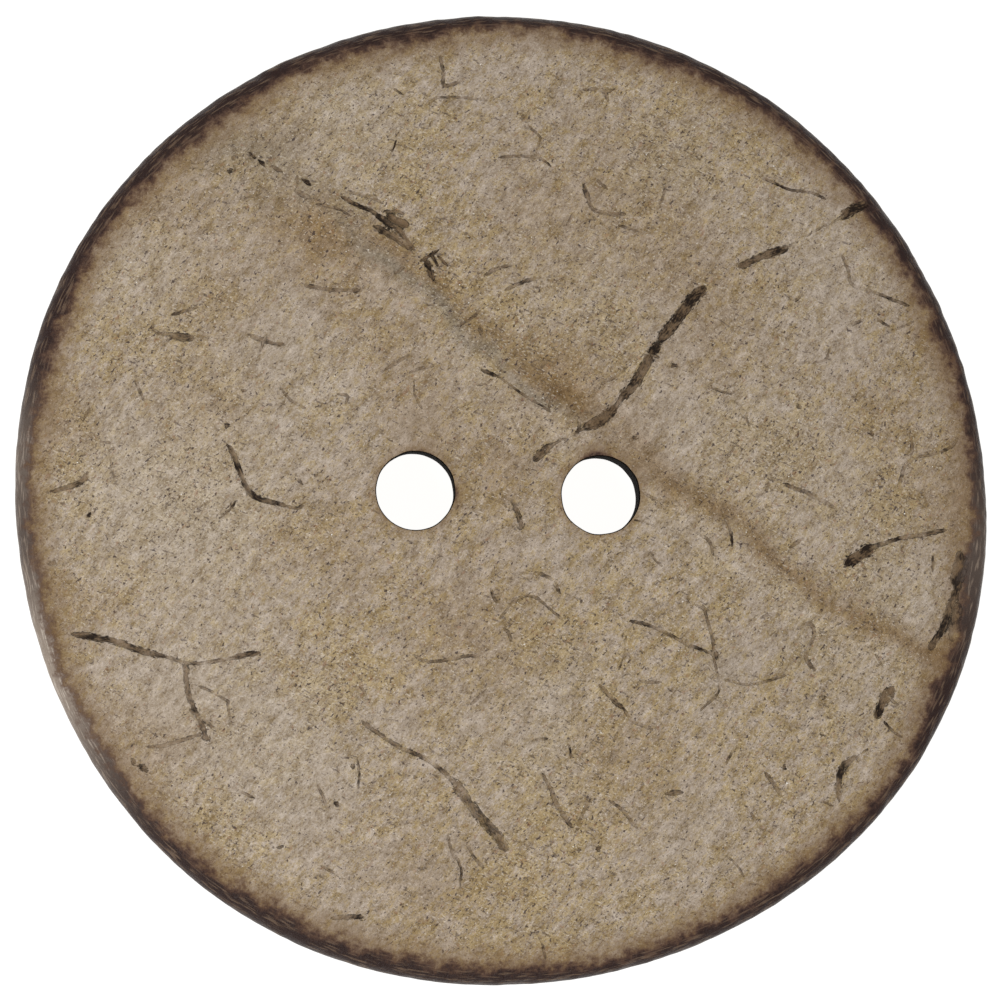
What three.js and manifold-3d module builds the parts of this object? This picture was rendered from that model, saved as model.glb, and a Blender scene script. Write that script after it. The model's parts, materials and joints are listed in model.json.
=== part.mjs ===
// A large two-hole sew-on button, cut as one disc from the shell of a coconut.
// Its face is the shell's own outer skin, gently domed. Its back is the shell's hollow inner face,
// ground flat in a narrow ring at the rim, which the button rests on.
//
// Units are millimetres. +Z points up out of the skin, and +X runs from one thread hole to the other.
// The origin is under the middle of the disc, in the plane of the ground ring.

import * as THREE from 'three';
import { mergeVertices } from 'three/addons/utils/BufferGeometryUtils.js';
import Module from 'manifold-3d';

// ---- Driving dimensions ----

const discDiameter = 50.8; // mean diameter, 80 ligne
const domeRadius = 100; // the coconut's curve, on its outer skin
const shellThickness = 2.9; // between the skin and the inner face
const groundRingWidth = 2.0; // flat ring ground on the back
const faceEdgeRadius = 0.9; // rounding from the skin to the side wall
const backEdgeRadius = 0.5; // rounding from the side wall to the ground ring

const threadHoleDiameter = 4.0; // one drill size
const threadHoleSpacing = 9.5; // between the centres of the two holes
const threadHoleBreak = 0.2; // 45 degree break at each mouth of a hole

// The rim is cut by hand, so it is a little out of round. Each lobe set adds
// height * cos(count * (angle - peak)) to the radius.
const rimLobes = [
  { count: 2, height: 0.165, peak: -37.5 },
  { count: 3, height: 0.08, peak: -7.7 },
  { count: 4, height: 0.136, peak: -30.5 },
];

// ---- Fineness of the faceted shapes ----

const rimSegments = 96;
const holeSegments = 32;
const sphereSteps = 8;
const edgeSteps = 4;
const mergeTolerance = 1e-4;
const cutOvershoot = 0.5;

// ---- Sizes that follow ----

const rimRadius = discDiameter / 2;
const innerDomeRadius = domeRadius - shellThickness;
const ringInnerRadius = rimRadius - backEdgeRadius - groundRingWidth;
// Both faces are spheres about one centre, placed so that the inner one meets the ground ring at z = 0.
const domeCentreZ = -Math.sqrt(innerDomeRadius ** 2 - ringInnerRadius ** 2);
const threadHoleRadius = threadHoleDiameter / 2;

const wasm = await Module();
wasm.setup();

/** Height of a sphere about the dome's centre, at a distance out from the axis. */
function sphereHeight(radius, out) {
  return domeCentreZ + Math.sqrt(radius ** 2 - out ** 2);
}

/** Points of an arc in the (out, up) plane, from one angle to another, both ends included. */
function arcPoints(centre, radius, fromAngle, toAngle, steps) {
  const points = [];
  for (let step = 0; step <= steps; step += 1) {
    const angle = THREE.MathUtils.lerp(fromAngle, toAngle, step / steps);
    const out = centre.x + radius * Math.cos(angle);
    points.push(new THREE.Vector2(out, centre.y + radius * Math.sin(angle)));
  }
  return points;
}

/** A profile of (out, up) points turned about the Z axis. */
function turned(profile, segments) {
  return new THREE.LatheGeometry(profile, segments).rotateX(Math.PI / 2);
}

/** A closed geometry's solid, with shared corners merged and the empty triangles on the axis left out. */
function toSolid(geometry) {
  const bare = geometry.clone();
  bare.deleteAttribute('normal');
  bare.deleteAttribute('uv');
  const merged = mergeVertices(bare, mergeTolerance);
  const corners = merged.index.array;
  const triangles = [];
  for (let first = 0; first < corners.length; first += 3) {
    const [a, b, c] = corners.slice(first, first + 3);
    if (a !== b && b !== c && c !== a) {
      triangles.push(a, b, c);
    }
  }
  return new wasm.Manifold(
    new wasm.Mesh({
      numProp: 3,
      vertProperties: merged.attributes.position.array,
      triVerts: Uint32Array.from(triangles),
    }),
  );
}

/** A solid's surface as a geometry with flat-shaded faces. */
function toGeometry(solid) {
  const mesh = solid.getMesh();
  const geometry = new THREE.BufferGeometry();
  geometry.setAttribute('position', new THREE.BufferAttribute(mesh.vertProperties, mesh.numProp));
  geometry.setIndex(new THREE.BufferAttribute(mesh.triVerts, 1));
  const faceted = geometry.toNonIndexed();
  faceted.computeVertexNormals();
  return faceted;
}

/** The disc's section: hollow back, ground ring, rounded side wall, domed skin. */
function discProfile() {
  const backEdge = new THREE.Vector2(rimRadius - backEdgeRadius, backEdgeRadius);
  const faceEdgeOut = rimRadius - faceEdgeRadius;
  const faceEdge = new THREE.Vector2(faceEdgeOut, sphereHeight(domeRadius - faceEdgeRadius, faceEdgeOut));
  const domeCentre = new THREE.Vector2(0, domeCentreZ);
  const upward = Math.PI / 2;
  const ringAngle = Math.acos(ringInnerRadius / innerDomeRadius);
  const skinEndAngle = Math.atan2(faceEdge.y - domeCentreZ, faceEdge.x);

  const hollow = arcPoints(domeCentre, innerDomeRadius, upward, ringAngle, sphereSteps);
  const backRounding = arcPoints(backEdge, backEdgeRadius, -upward, 0, edgeSteps);
  const faceRounding = arcPoints(faceEdge, faceEdgeRadius, 0, skinEndAngle, edgeSteps);
  const skin = arcPoints(domeCentre, domeRadius, skinEndAngle, upward, sphereSteps);
  hollow[0].x = 0;
  skin[skin.length - 1].x = 0;
  return [...hollow, ...backRounding, ...faceRounding, ...skin.slice(1)];
}

/** Moves the rim, and all inside it in proportion, to the hand-cut outline. */
function shapeOutline(geometry) {
  const places = geometry.attributes.position;
  for (let index = 0; index < places.count; index += 1) {
    const angle = Math.atan2(places.getY(index), places.getX(index));
    let growth = 0;
    for (const lobe of rimLobes) {
      growth += lobe.height * Math.cos(lobe.count * (angle - THREE.MathUtils.degToRad(lobe.peak)));
    }
    const scale = 1 + growth / rimRadius;
    places.setXY(index, places.getX(index) * scale, places.getY(index) * scale);
  }
  return geometry;
}

/** The drill's cut for one thread hole, flared at both faces to break their edges. */
function threadHoleCutter(side) {
  const out = (side * threadHoleSpacing) / 2;
  const backZ = sphereHeight(innerDomeRadius, out);
  const skinZ = sphereHeight(domeRadius, out);
  const mouthRadius = threadHoleRadius + threadHoleBreak + cutOvershoot;
  const profile = [
    new THREE.Vector2(0, backZ - cutOvershoot),
    new THREE.Vector2(mouthRadius, backZ - cutOvershoot),
    new THREE.Vector2(threadHoleRadius, backZ + threadHoleBreak),
    new THREE.Vector2(threadHoleRadius, skinZ - threadHoleBreak),
    new THREE.Vector2(mouthRadius, skinZ + cutOvershoot),
    new THREE.Vector2(0, skinZ + cutOvershoot),
  ];
  return toSolid(turned(profile, holeSegments).translate(out, 0, 0));
}

/** The whole disc, with its two thread holes drilled. */
function shellDisc() {
  let solid = toSolid(shapeOutline(turned(discProfile(), rimSegments)));
  for (const side of [-1, 1]) {
    solid = solid.subtract(threadHoleCutter(side));
  }
  const coconutShell = new THREE.MeshStandardMaterial({ color: 0x9a8a74, roughness: 0.8, metalness: 0 });
  const mesh = new THREE.Mesh(toGeometry(solid), coconutShell);
  mesh.name = 'coconut_shell_disc';
  return mesh;
}

const button = new THREE.Group();
button.name = 'sew_on_button';
button.add(shellDisc());

export default button;
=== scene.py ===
"""The looks of a large two-hole sew-on button, cut as one disc from the shell of a coconut.

The face keeps the nut's own weathered skin: matt, grey-brown, flecked along the fibre, crossed by a raised
seam and by dark fibre strands that lie in shallow channels. The seam's shade and light, a few glints on the
skin and the shade down the thread holes are painted into the colours. At the rim the skin is worn through to
the hard dark shell, which handling has made glossy; pale glint streaks and a pale highlight where it faces
the light are painted on it. The back is the hollow inside of the shell, ground flat in a narrow ring that the
button rests on.

Lengths are millimetres until a mesh is made. The frame is the CAD part's own: +Z out of the skin, +X from
one thread hole to the other, and z = 0 in the plane of the ground ring.
"""

from __future__ import annotations

import json
import logging
import math
from collections.abc import Sequence
from dataclasses import dataclass, field
from enum import Enum

import bpy
import numpy as np
from mathutils import Matrix, Vector
from mathutils.geometry import delaunay_2d_cdt

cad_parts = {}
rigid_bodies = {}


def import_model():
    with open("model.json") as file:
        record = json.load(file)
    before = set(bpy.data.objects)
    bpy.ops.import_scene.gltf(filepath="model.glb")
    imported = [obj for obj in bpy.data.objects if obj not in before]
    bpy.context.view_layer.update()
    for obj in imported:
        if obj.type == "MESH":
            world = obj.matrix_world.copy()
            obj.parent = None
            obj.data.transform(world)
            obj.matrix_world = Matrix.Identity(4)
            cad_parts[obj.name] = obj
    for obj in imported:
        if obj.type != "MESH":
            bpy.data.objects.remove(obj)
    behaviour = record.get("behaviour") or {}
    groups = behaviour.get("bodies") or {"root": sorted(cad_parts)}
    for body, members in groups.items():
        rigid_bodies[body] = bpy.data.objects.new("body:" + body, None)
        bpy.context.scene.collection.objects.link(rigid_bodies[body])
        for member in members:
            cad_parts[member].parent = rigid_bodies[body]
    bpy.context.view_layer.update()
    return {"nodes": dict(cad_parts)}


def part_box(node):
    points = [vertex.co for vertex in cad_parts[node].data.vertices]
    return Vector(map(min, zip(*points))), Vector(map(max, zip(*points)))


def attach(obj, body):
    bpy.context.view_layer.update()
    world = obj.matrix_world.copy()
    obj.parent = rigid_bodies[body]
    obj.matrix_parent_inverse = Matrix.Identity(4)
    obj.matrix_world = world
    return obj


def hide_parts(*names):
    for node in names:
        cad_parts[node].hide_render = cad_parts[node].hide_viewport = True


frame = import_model()

MM = 0.001
TURN = 2 * math.pi
SIDES = (-1, 1)
RIM_RADIUS = 25.4
DISC_NODE = "coconut_shell_disc"

log = logging.getLogger("button")

Route = tuple[tuple[float, float], ...]


# ---- Small tools ----


def linear(hex_colour: int) -> tuple[float, float, float, float]:
    """A colour given as an sRGB hex value, as the linear values that shaders take.

    Args:
        hex_colour: The colour as 0xRRGGBB.

    Returns:
        Red, green, blue and a full alpha, linear.
    """
    channels = []
    for shift in (16, 8, 0):
        share = ((hex_colour >> shift) & 0xFF) / 255
        channels.append(share / 12.92 if share <= 0.04045 else ((share + 0.055) / 1.055) ** 2.4)
    return (*channels, 1.0)


def add(
    tree: bpy.types.NodeTree, kind: str, inputs: dict | None = None, **settings: object
) -> bpy.types.Node:
    """Adds a shader node, with its settings, its values and the links into it.

    Args:
        tree: The material's or world's node tree.
        kind: The node's type name without its "ShaderNode" start.
        inputs: By socket name or place among the sockets in use: a value, a socket, or a node whose first
            output is meant.
        **settings: The node's own properties.

    Returns:
        The new node.
    """
    node = tree.nodes.new("ShaderNode" + kind)
    for name, value in settings.items():
        setattr(node, name, value)
    sockets = [socket for socket in node.inputs if socket.enabled]
    for key, value in (inputs or {}).items():
        socket = sockets[key] if isinstance(key, int) else next(s for s in sockets if s.name == key)
        if isinstance(value, bpy.types.Node):
            value = next(output for output in value.outputs if output.enabled)
        if isinstance(value, bpy.types.NodeSocket):
            tree.links.new(value, socket)
        else:
            socket.default_value = value
    return node


def smooth_step(value: np.ndarray, low: float, high: float) -> np.ndarray:
    """A soft step from 0 at low to 1 at high."""
    share = np.clip((value - low) / (high - low), 0.0, 1.0)
    return share * share * (3 - 2 * share)


class Noise:
    """Seeded smooth noise over the plane, about zero and mostly within one either way.

    Each use shifts x, y or both by an amount of its own, so that no two patterns are alike.
    """

    CELLS = 256
    GAIN = 1.6

    def __init__(self, seed: int) -> None:
        """Draws the slope direction at each corner of the noise's cells."""
        self.turns = np.random.default_rng(seed).random((self.CELLS, self.CELLS)) * TURN

    def at(self, x: np.ndarray, y: np.ndarray, size: float) -> np.ndarray:
        """The noise at some points.

        Args:
            x: The points' x.
            y: The points' y.
            size: How big one cell of the noise is.

        Returns:
            One value for each point.
        """
        across, up = np.asarray(x) / size, np.asarray(y) / size
        column, row = np.floor(across).astype(int), np.floor(up).astype(int)
        total = np.zeros(np.broadcast(across, up).shape)
        for right in (0, 1):
            for above in (0, 1):
                turn = self.turns[(column + right) % self.CELLS, (row + above) % self.CELLS]
                dx, dy = across - column - right, up - row - above
                weight = (1 - smooth_step(np.abs(dx), 0, 1)) * (1 - smooth_step(np.abs(dy), 0, 1))
                total += weight * (np.cos(turn) * dx + np.sin(turn) * dy)
        return total * self.GAIN


def curve_through(route: Route, step: float) -> np.ndarray:
    """Evenly spaced points on a smooth curve through the points of a route.

    Args:
        route: Two or more points.
        step: How far apart the points are wanted.

    Returns:
        The points, one row each, both ends included.
    """
    knots = np.array(route, float)
    padded = np.vstack([2 * knots[0] - knots[1], knots, 2 * knots[-1] - knots[-2]])
    pieces = [knots[:1]]
    for before, start, end, after in zip(padded, padded[1:], padded[2:], padded[3:]):
        count = max(1, math.ceil(float(np.linalg.norm(end - start)) / step))
        share = (np.arange(1, count + 1) / count)[:, None]
        bend = (2 * before - 5 * start + 4 * end - after) * share**2
        swing = (3 * start - before - 3 * end + after) * share**3
        pieces.append(0.5 * (2 * start + (end - before) * share + bend + swing))
    return np.vstack(pieces)


# ---- The marks of the skin ----


@dataclass(frozen=True)
class Strand:
    """A dark fibre strand that lies in a channel of the skin.

    Attributes:
        route: The points that it passes.
        width: Its width at the thickest.
        tone: How dark it is, from 0 to 1.
    """

    route: Route
    width: float
    tone: float


@dataclass(frozen=True)
class Pit:
    """A small dark pit in the skin: its place, its radius and how dark it is."""

    x: float
    y: float
    radius: float
    tone: float


@dataclass(frozen=True)
class Stain:
    """A soft patch of the skin: its place, its radius and how strong it is at its middle."""

    x: float
    y: float
    radius: float
    strength: float


# The long broken strand from between the thread holes up to the right of the rim.
LONG_STRAND = (
    Strand(((1.4, 1.8), (2.0, 2.4)), 0.36, 0.85),
    Strand(((2.0, 2.4), (2.9, 2.9), (4.0, 3.5)), 0.13, 0.4),
    Strand(((4.0, 3.5), (4.8, 3.9), (5.4, 4.5)), 0.5, 0.95),
    Strand(((5.5, 4.6), (5.8, 5.1)), 0.2, 0.6),
    Strand(((5.8, 5.1), (6.4, 5.8), (6.9, 6.6), (7.3, 7.4), (7.6, 7.8)), 0.47, 0.9),
    Strand(((7.8, 8.2), (8.2, 8.7), (8.8, 9.5), (9.4, 10.3), (10.0, 10.9)), 0.52, 0.95),
    Strand(((12.0, 12.2), (13.0, 12.7), (14.3, 13.2)), 0.38, 0.9),
    Strand(((14.3, 13.2), (15.9, 14.2), (17.5, 15.1)), 0.1, 0.25),
    Strand(((17.5, 15.1), (18.0, 15.5), (18.7, 15.8)), 0.5, 0.98),
)

LEFT_STRANDS = (
    Strand(
        ((-14.4, 2.2), (-14.1, 1.8), (-13.5, 0.3), (-13.0, -0.4), (-12.1, -0.7), (-11.3, -0.9)), 0.26, 0.75
    ),
    Strand(((-11.3, -0.9), (-10.7, -1.0), (-10.5, -0.8)), 0.16, 0.55),
    Strand(((-23.3, -0.3), (-22.6, -0.1), (-21.8, 0.2), (-21.5, 0.7)), 0.26, 0.75),
    Strand(((-22.1, -7.6), (-20.1, -7.9), (-18.9, -8.3), (-17.3, -8.7)), 0.31, 0.8),
    Strand(((-17.3, -8.7), (-16.0, -9.0), (-14.9, -8.9), (-13.8, -8.7)), 0.16, 0.5),
    Strand(((-13.9, -8.7), (-12.5, -8.4)), 0.31, 0.85),
    Strand(((-16.3, -9.1), (-16.1, -10.4), (-15.9, -11.0), (-15.4, -12.0), (-15.1, -12.8)), 0.23, 0.7),
    Strand(((-15.4, -12.6), (-17.1, -13.2), (-18.1, -13.3)), 0.18, 0.6),
    Strand(((-18.4, 8.2), (-18.0, 7.9), (-17.3, 7.9)), 0.18, 0.55),
    Strand(((-17.3, 7.8), (-16.4, 7.7)), 0.36, 0.75),
    Strand(((-13.4, 7.9), (-12.4, 7.5), (-11.6, 7.4)), 0.21, 0.6),
    Strand(((-10.6, 10.5), (-9.3, 10.3), (-7.9, 10.3)), 0.18, 0.5),
    Strand(((-6.4, 6.2), (-5.8, 6.6), (-5.2, 7.0)), 0.16, 0.5),
    Strand(((-17.4, 8.9), (-16.1, 9.3)), 0.16, 0.4),
    Strand(((-8.8, 4.9), (-8.3, 4.8), (-8.4, 4.4)), 0.16, 0.4),
)

LOW_STRANDS = (
    Strand(((-7.2, -11.8), (-5.6, -12.9), (-4.2, -13.5), (-3.2, -14.1), (-2.3, -14.9)), 0.2, 0.5),
    Strand(((-2.3, -14.9), (-1.6, -15.9), (-1.0, -16.6), (-0.4, -17.2), (0.3, -18.1)), 0.46, 0.62),
    Strand(((2.1, -14.3), (2.5, -15.0), (3.0, -16.0), (3.7, -17.0)), 0.21, 0.6),
    Strand(((5.6, -15.6), (6.3, -16.1), (7.1, -17.0)), 0.16, 0.45),
    Strand(((5.9, -12.1), (5.6, -13.5), (5.2, -14.4)), 0.16, 0.25),
    Strand(((4.9, -9.7), (5.5, -10.3), (6.2, -10.9)), 0.23, 0.6),
    Strand(((6.2, -10.9), (6.7, -11.5), (7.7, -11.9)), 0.16, 0.4),
    Strand(((-4.6, -8.4), (-3.9, -8.7), (-2.5, -8.5), (-1.3, -8.3)), 0.16, 0.35),
    Strand(((-0.3, -6.4), (0.6, -5.4), (1.4, -5.3), (2.2, -5.8), (2.9, -6.4)), 0.13, 0.4),
    Strand(((0.2, -0.4), (0.5, -1.0), (0.7, -1.7)), 0.26, 0.5),
    Strand(((1.6, -12.6), (2.3, -12.5)), 0.17, 0.45),
    Strand(((-8.5, -21.9), (-7.6, -21.8), (-6.9, -21.8)), 0.21, 0.55),
    Strand(((-13.7, -15.3), (-12.6, -15.8)), 0.13, 0.35),
    Strand(((8.5, -15.2), (9.4, -15.1)), 0.26, 0.6),
    Strand(((13.7, -14.0), (14.1, -14.5), (14.6, -15.2)), 0.18, 0.45),
    Strand(((13.0, -16.1), (13.4, -16.6), (13.7, -17.0)), 0.16, 0.4),
)

RIGHT_STRANDS = (
    Strand(((17.8, -3.1), (18.4, -2.7), (19.0, -2.3)), 0.6, 0.98),
    Strand(((19.0, -2.3), (20.4, -1.8), (21.7, -1.5), (23.1, -1.2)), 0.21, 0.55),
    Strand(((22.4, -7.3), (23.0, -6.4), (23.4, -5.2), (23.8, -4.2), (24.2, -2.8)), 0.38, 0.8),
    Strand(((23.6, -6.8), (23.7, -6.0), (23.8, -5.2)), 0.5, 0.45),
    Strand(((23.6, -3.9), (23.8, -3.2), (23.9, -2.5)), 0.5, 0.6),
    Strand(((19.6, -10.9), (19.9, -10.2), (20.3, -9.6)), 0.52, 0.95),
    Strand(((17.7, -15.4), (17.6, -14.5), (17.8, -13.7), (18.2, -13.3), (18.6, -13.1)), 0.31, 0.7),
    Strand(((17.4, 13.0), (17.7, 12.2), (17.9, 11.5), (18.8, 11.2), (21.0, 10.5)), 0.16, 0.45),
    Strand(((15.0, 7.2), (16.4, 7.4), (16.7, 8.0)), 0.13, 0.4),
    Strand(((10.5, 5.7), (11.3, 5.5), (11.8, 5.6)), 0.13, 0.4),
    Strand(((21.1, 3.8), (21.2, 2.5), (20.8, 2.0), (20.4, 0.4)), 0.18, 0.4),
    Strand(((21.2, 2.5), (22.3, 2.7), (23.3, 3.1), (23.7, 3.6)), 0.13, 0.35),
    Strand(((14.4, 0.9), (15.1, 0.6), (15.7, 0.4), (17.1, -0.3)), 0.21, 0.5),
    Strand(((6.4, -6.4), (7.7, -6.7), (9.4, -7.5), (10.8, -8.0)), 0.16, 0.45),
    Strand(((10.2, -5.5), (10.4, -6.2), (10.7, -7.1), (10.8, -8.0)), 0.16, 0.45),
    Strand(((10.8, -8.1), (11.1, -9.8), (10.2, -10.9)), 0.13, 0.3),
    Strand(((11.5, -9.3), (12.8, -9.5), (14.6, -9.0)), 0.13, 0.4),
    Strand(((15.2, -6.6), (15.8, -6.3), (16.1, -6.8), (15.7, -7.8), (15.8, -8.3), (16.2, -8.7)), 0.18, 0.45),
    Strand(((6.6, 0.5), (7.3, 0.0), (8.3, -0.3)), 0.13, 0.35),
    Strand(((14.7, -2.4), (15.4, -1.9)), 0.16, 0.4),
    Strand(((22.4, -2.6), (22.4, -3.4)), 0.16, 0.4),
    Strand(((19.4, -7.8), (19.8, -8.4)), 0.13, 0.45),
    Strand(((13.2, -6.1), (13.6, -5.9), (14.2, -5.9)), 0.13, 0.4),
)

# The torn patch at the upper left, where the seam starts, and the short ladder of strands below it.
TORN_STRANDS = (
    Strand(((-13.6, 17.5), (-13.3, 17.2)), 0.17, 0.7),
    Strand(((-13.1, 17.1), (-12.8, 16.8)), 0.2, 0.6),
    Strand(((-12.4, 16.8), (-11.9, 16.5)), 0.26, 0.75),
    Strand(((-11.1, 16.3), (-11.1, 15.9)), 0.2, 0.7),
    Strand(((-10.8, 16.1), (-10.4, 15.8)), 0.26, 0.8),
    Strand(((-11.2, 15.5), (-10.4, 15.1)), 0.3, 0.4),
    Strand(((-10.1, 14.8), (-9.1, 14.6), (-8.3, 14.2)), 0.13, 0.55),
    Strand(((-8.8, 15.2), (-8.0, 14.8), (-7.3, 14.5), (-6.8, 14.2), (-6.3, 13.8)), 0.22, 0.85),
    Strand(((-8.6, 15.5), (-7.6, 15.3), (-7.0, 15.1), (-6.7, 14.9)), 0.16, 0.5),
    Strand(((-6.6, 14.5), (-6.0, 14.5), (-5.6, 14.4)), 0.15, 0.75),
    Strand(((-7.0, 14.2), (-6.3, 13.8), (-5.8, 13.5), (-5.3, 12.8), (-5.0, 12.5)), 0.22, 0.9),
    Strand(((-6.3, 14.2), (-5.9, 14.0), (-5.5, 13.8)), 0.4, 1.0),
    Strand(((-7.1, 13.7), (-6.5, 13.4), (-5.8, 13.0), (-5.2, 12.5)), 0.34, 0.65),
    Strand(((-4.5, 12.0), (-4.3, 11.6), (-4.0, 10.9)), 0.28, 0.95),
    Strand(((-4.7, 11.9), (-4.2, 12.2), (-3.8, 12.5)), 0.16, 0.95),
    Strand(((-4.1, 12.2), (-3.8, 11.7)), 0.13, 0.9),
    Strand(((-3.8, 12.2), (-3.3, 11.7)), 0.15, 0.9),
    Strand(((-4.3, 11.9), (-4.1, 11.7)), 0.13, 0.8),
    Strand(((-4.0, 10.9), (-3.4, 10.6), (-2.6, 10.3)), 0.11, 0.35),
    Strand(((-1.5, 6.3), (-1.1, 6.15), (-0.7, 6.0)), 0.22, 0.75),
    Strand(((-0.7, 6.0), (0.5, 5.2), (2.1, 4.2)), 0.11, 0.4),
    Strand(((-6.0, 11.2), (-5.5, 11.6)), 0.15, 0.65),
    Strand(((-2.8, 8.5), (-2.1, 8.9), (-1.6, 9.4)), 0.13, 0.5),
    Strand(((-1.6, 8.6), (-1.5, 8.1)), 0.2, 0.45),
)

UPPER_STRANDS = (
    Strand(((3.7, 16.2), (3.9, 15.5), (4.2, 14.9), (5.0, 14.7), (5.9, 14.7)), 0.21, 0.55),
    Strand(((-0.7, 17.5), (0.4, 17.6), (1.4, 17.5), (2.0, 17.1)), 0.13, 0.45),
    Strand(((0.8, 19.3), (1.5, 18.6)), 0.11, 0.4),
    Strand(((10.5, 15.7), (11.1, 16.1)), 0.21, 0.45),
    Strand(((13.0, 17.0), (14.6, 16.4), (15.7, 16.3), (16.5, 16.0)), 0.14, 0.4),
    Strand(((-1.4, 11.2), (-0.7, 11.6), (0.0, 11.8)), 0.16, 0.45),
    Strand(((-0.3, 10.5), (0.5, 10.9), (1.5, 11.2)), 0.17, 0.5),
    Strand(((-3.8, 22.9), (-3.6, 22.0), (-3.6, 21.3), (-2.8, 21.5)), 0.18, 0.5),
    Strand(((-4.3, 19.8), (-4.2, 20.5), (-3.4, 20.7), (-1.4, 20.6)), 0.13, 0.3),
    Strand(((3.7, 21.3), (4.7, 21.3), (5.0, 20.7)), 0.18, 0.45),
    Strand(((4.7, 21.2), (5.3, 21.4)), 0.16, 0.4),
)

# Hairlines run mostly one of three ways, in degrees from +X. The rest are ranges that each draws from.
HAIRLINE_HEADINGS = (-30.0, 48.0, -65.0)
HAIRLINE_SPREAD = 25
HAIRLINE_STEPS = (0.35, 0.9)
HAIRLINE_BEND = 0.3
HAIRLINE_WIDTHS = (0.09, 0.15)
HAIRLINE_TONES = (0.1, 0.45)


def hairlines(count: int, reach: float, seed: int) -> tuple[Strand, ...]:
    """Short thin strands strewn over the skin, most of them along its fibre.

    Args:
        count: How many there are.
        reach: How far out from the middle they lie.
        seed: What sets where they lie.

    Returns:
        The strands.
    """
    draw = np.random.default_rng(seed)
    strands = []
    for _ in range(count):
        out, turn = reach * math.sqrt(draw.random()), TURN * draw.random()
        heading = math.radians(draw.choice(HAIRLINE_HEADINGS) + HAIRLINE_SPREAD * draw.standard_normal())
        step = draw.uniform(*HAIRLINE_STEPS)
        bend = HAIRLINE_BEND * draw.standard_normal()
        x, y = out * math.cos(turn), out * math.sin(turn)
        route = [(x, y)]
        for _ in range(2):
            x, y = x + step * math.cos(heading), y + step * math.sin(heading)
            route.append((x, y))
            heading += bend
        strands.append(Strand(tuple(route), draw.uniform(*HAIRLINE_WIDTHS), draw.uniform(*HAIRLINE_TONES)))
    return tuple(strands)


STRANDS = (
    LONG_STRAND
    + LEFT_STRANDS
    + LOW_STRANDS
    + RIGHT_STRANDS
    + TORN_STRANDS
    + UPPER_STRANDS
    + hairlines(count=70, reach=23.0, seed=31)
)

PITS = (
    Pit(8.5, 6.8, 0.18, 0.8),
    Pit(15.1, 4.9, 0.16, 0.7),
    Pit(19.0, 3.7, 0.17, 0.8),
    Pit(5.1, -18.1, 0.16, 0.95),
    Pit(4.7, -15.6, 0.14, 0.6),
    Pit(-18.3, -14.4, 0.26, 0.75),
    Pit(-18.8, -14.1, 0.16, 0.6),
    Pit(-21.4, -1.5, 0.16, 0.75),
    Pit(-23.2, -4.0, 0.21, 0.6),
    Pit(-15.1, -12.8, 0.21, 0.7),
    Pit(-8.4, -16.0, 0.18, 0.6),
    Pit(-14.4, 3.2, 0.16, 0.7),
    Pit(-9.8, 0.7, 0.16, 0.6),
    Pit(-5.9, 11.3, 0.14, 0.5),
    Pit(-1.1, 13.8, 0.14, 0.6),
    Pit(10.5, 16.7, 0.14, 0.5),
    Pit(0.5, 19.7, 0.16, 0.5),
    Pit(5.9, 23.4, 0.12, 0.4),
    Pit(10.9, -8.0, 0.21, 0.85),
    Pit(9.4, -7.5, 0.16, 0.6),
    Pit(16.7, -10.1, 0.12, 0.8),
    Pit(17.0, -11.1, 0.14, 0.6),
    Pit(16.7, -12.0, 0.14, 0.6),
    Pit(14.7, -13.7, 0.15, 0.6),
    Pit(14.7, -18.0, 0.12, 0.5),
    Pit(-11.2, -18.3, 0.16, 0.6),
    Pit(-4.4, -14.6, 0.14, 0.5),
    Pit(-7.6, -14.1, 0.14, 0.4),
    Pit(18.8, 11.2, 0.16, 0.6),
    Pit(-7.9, 10.3, 0.17, 0.7),
    Pit(6.5, 3.0, 0.15, 0.6),
    Pit(-16.2, -9.3, 0.21, 0.7),
    Pit(-14.4, 17.2, 0.16, 0.6),
    Pit(-14.6, 16.5, 0.18, 0.7),
    Pit(7.8, 1.3, 0.12, 0.4),
    Pit(-7.0, -21.8, 0.19, 0.8),
    Pit(11.1, -5.1, 0.12, 0.4),
    Pit(0.7, -1.7, 0.19, 0.6),
    Pit(-13.6, 5.0, 0.12, 0.5),
)

# The raised seam of the shell, from the torn patch past the right thread hole to the right of the rim.
SEAM_ROUTE = (
    (-11.5, 16.0),
    (-8.3, 13.2),
    (-5.2, 10.6),
    (-2.9, 8.3),
    (0.5, 5.4),
    (4.2, 3.1),
    (7.3, 0.7),
    (11.0, -1.6),
    (14.7, -4.2),
    (18.5, -6.5),
    (22.5, -8.6),
)


@dataclass(frozen=True)
class SeamBand:
    """A band of colour beside the seam: a stain of the skin, or the seam's shade or light painted on one of
    its flanks.
        end: Where it ends.
        offset: How far from the crest its middle is, above zero on the upper right side.
        width: How wide it is.
        strength: How strong it is at its middle.
    """

    start: float
    end: float
    offset: float
    width: float
    strength: float


# The two shade bands are painted shade on the seam's upper right flank, which faces away from the light; the
# lit flank band is painted light on its lower left flank. The grey band on the crest is the skin's own
# colour.
SEAM_RIGHT_SHADE = SeamBand(0.47, 1.12, 0.6, 0.75, 0.75)
SEAM_SHADE = SeamBand(0.06, 0.56, 1.0, 0.8, 0.45)
SEAM_GREY = SeamBand(0.02, 0.52, 0.1, 0.35, 0.7)
SEAM_LIT_FLANK = SeamBand(0.2, 1.0, -1.1, 0.6, 0.3)

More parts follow.
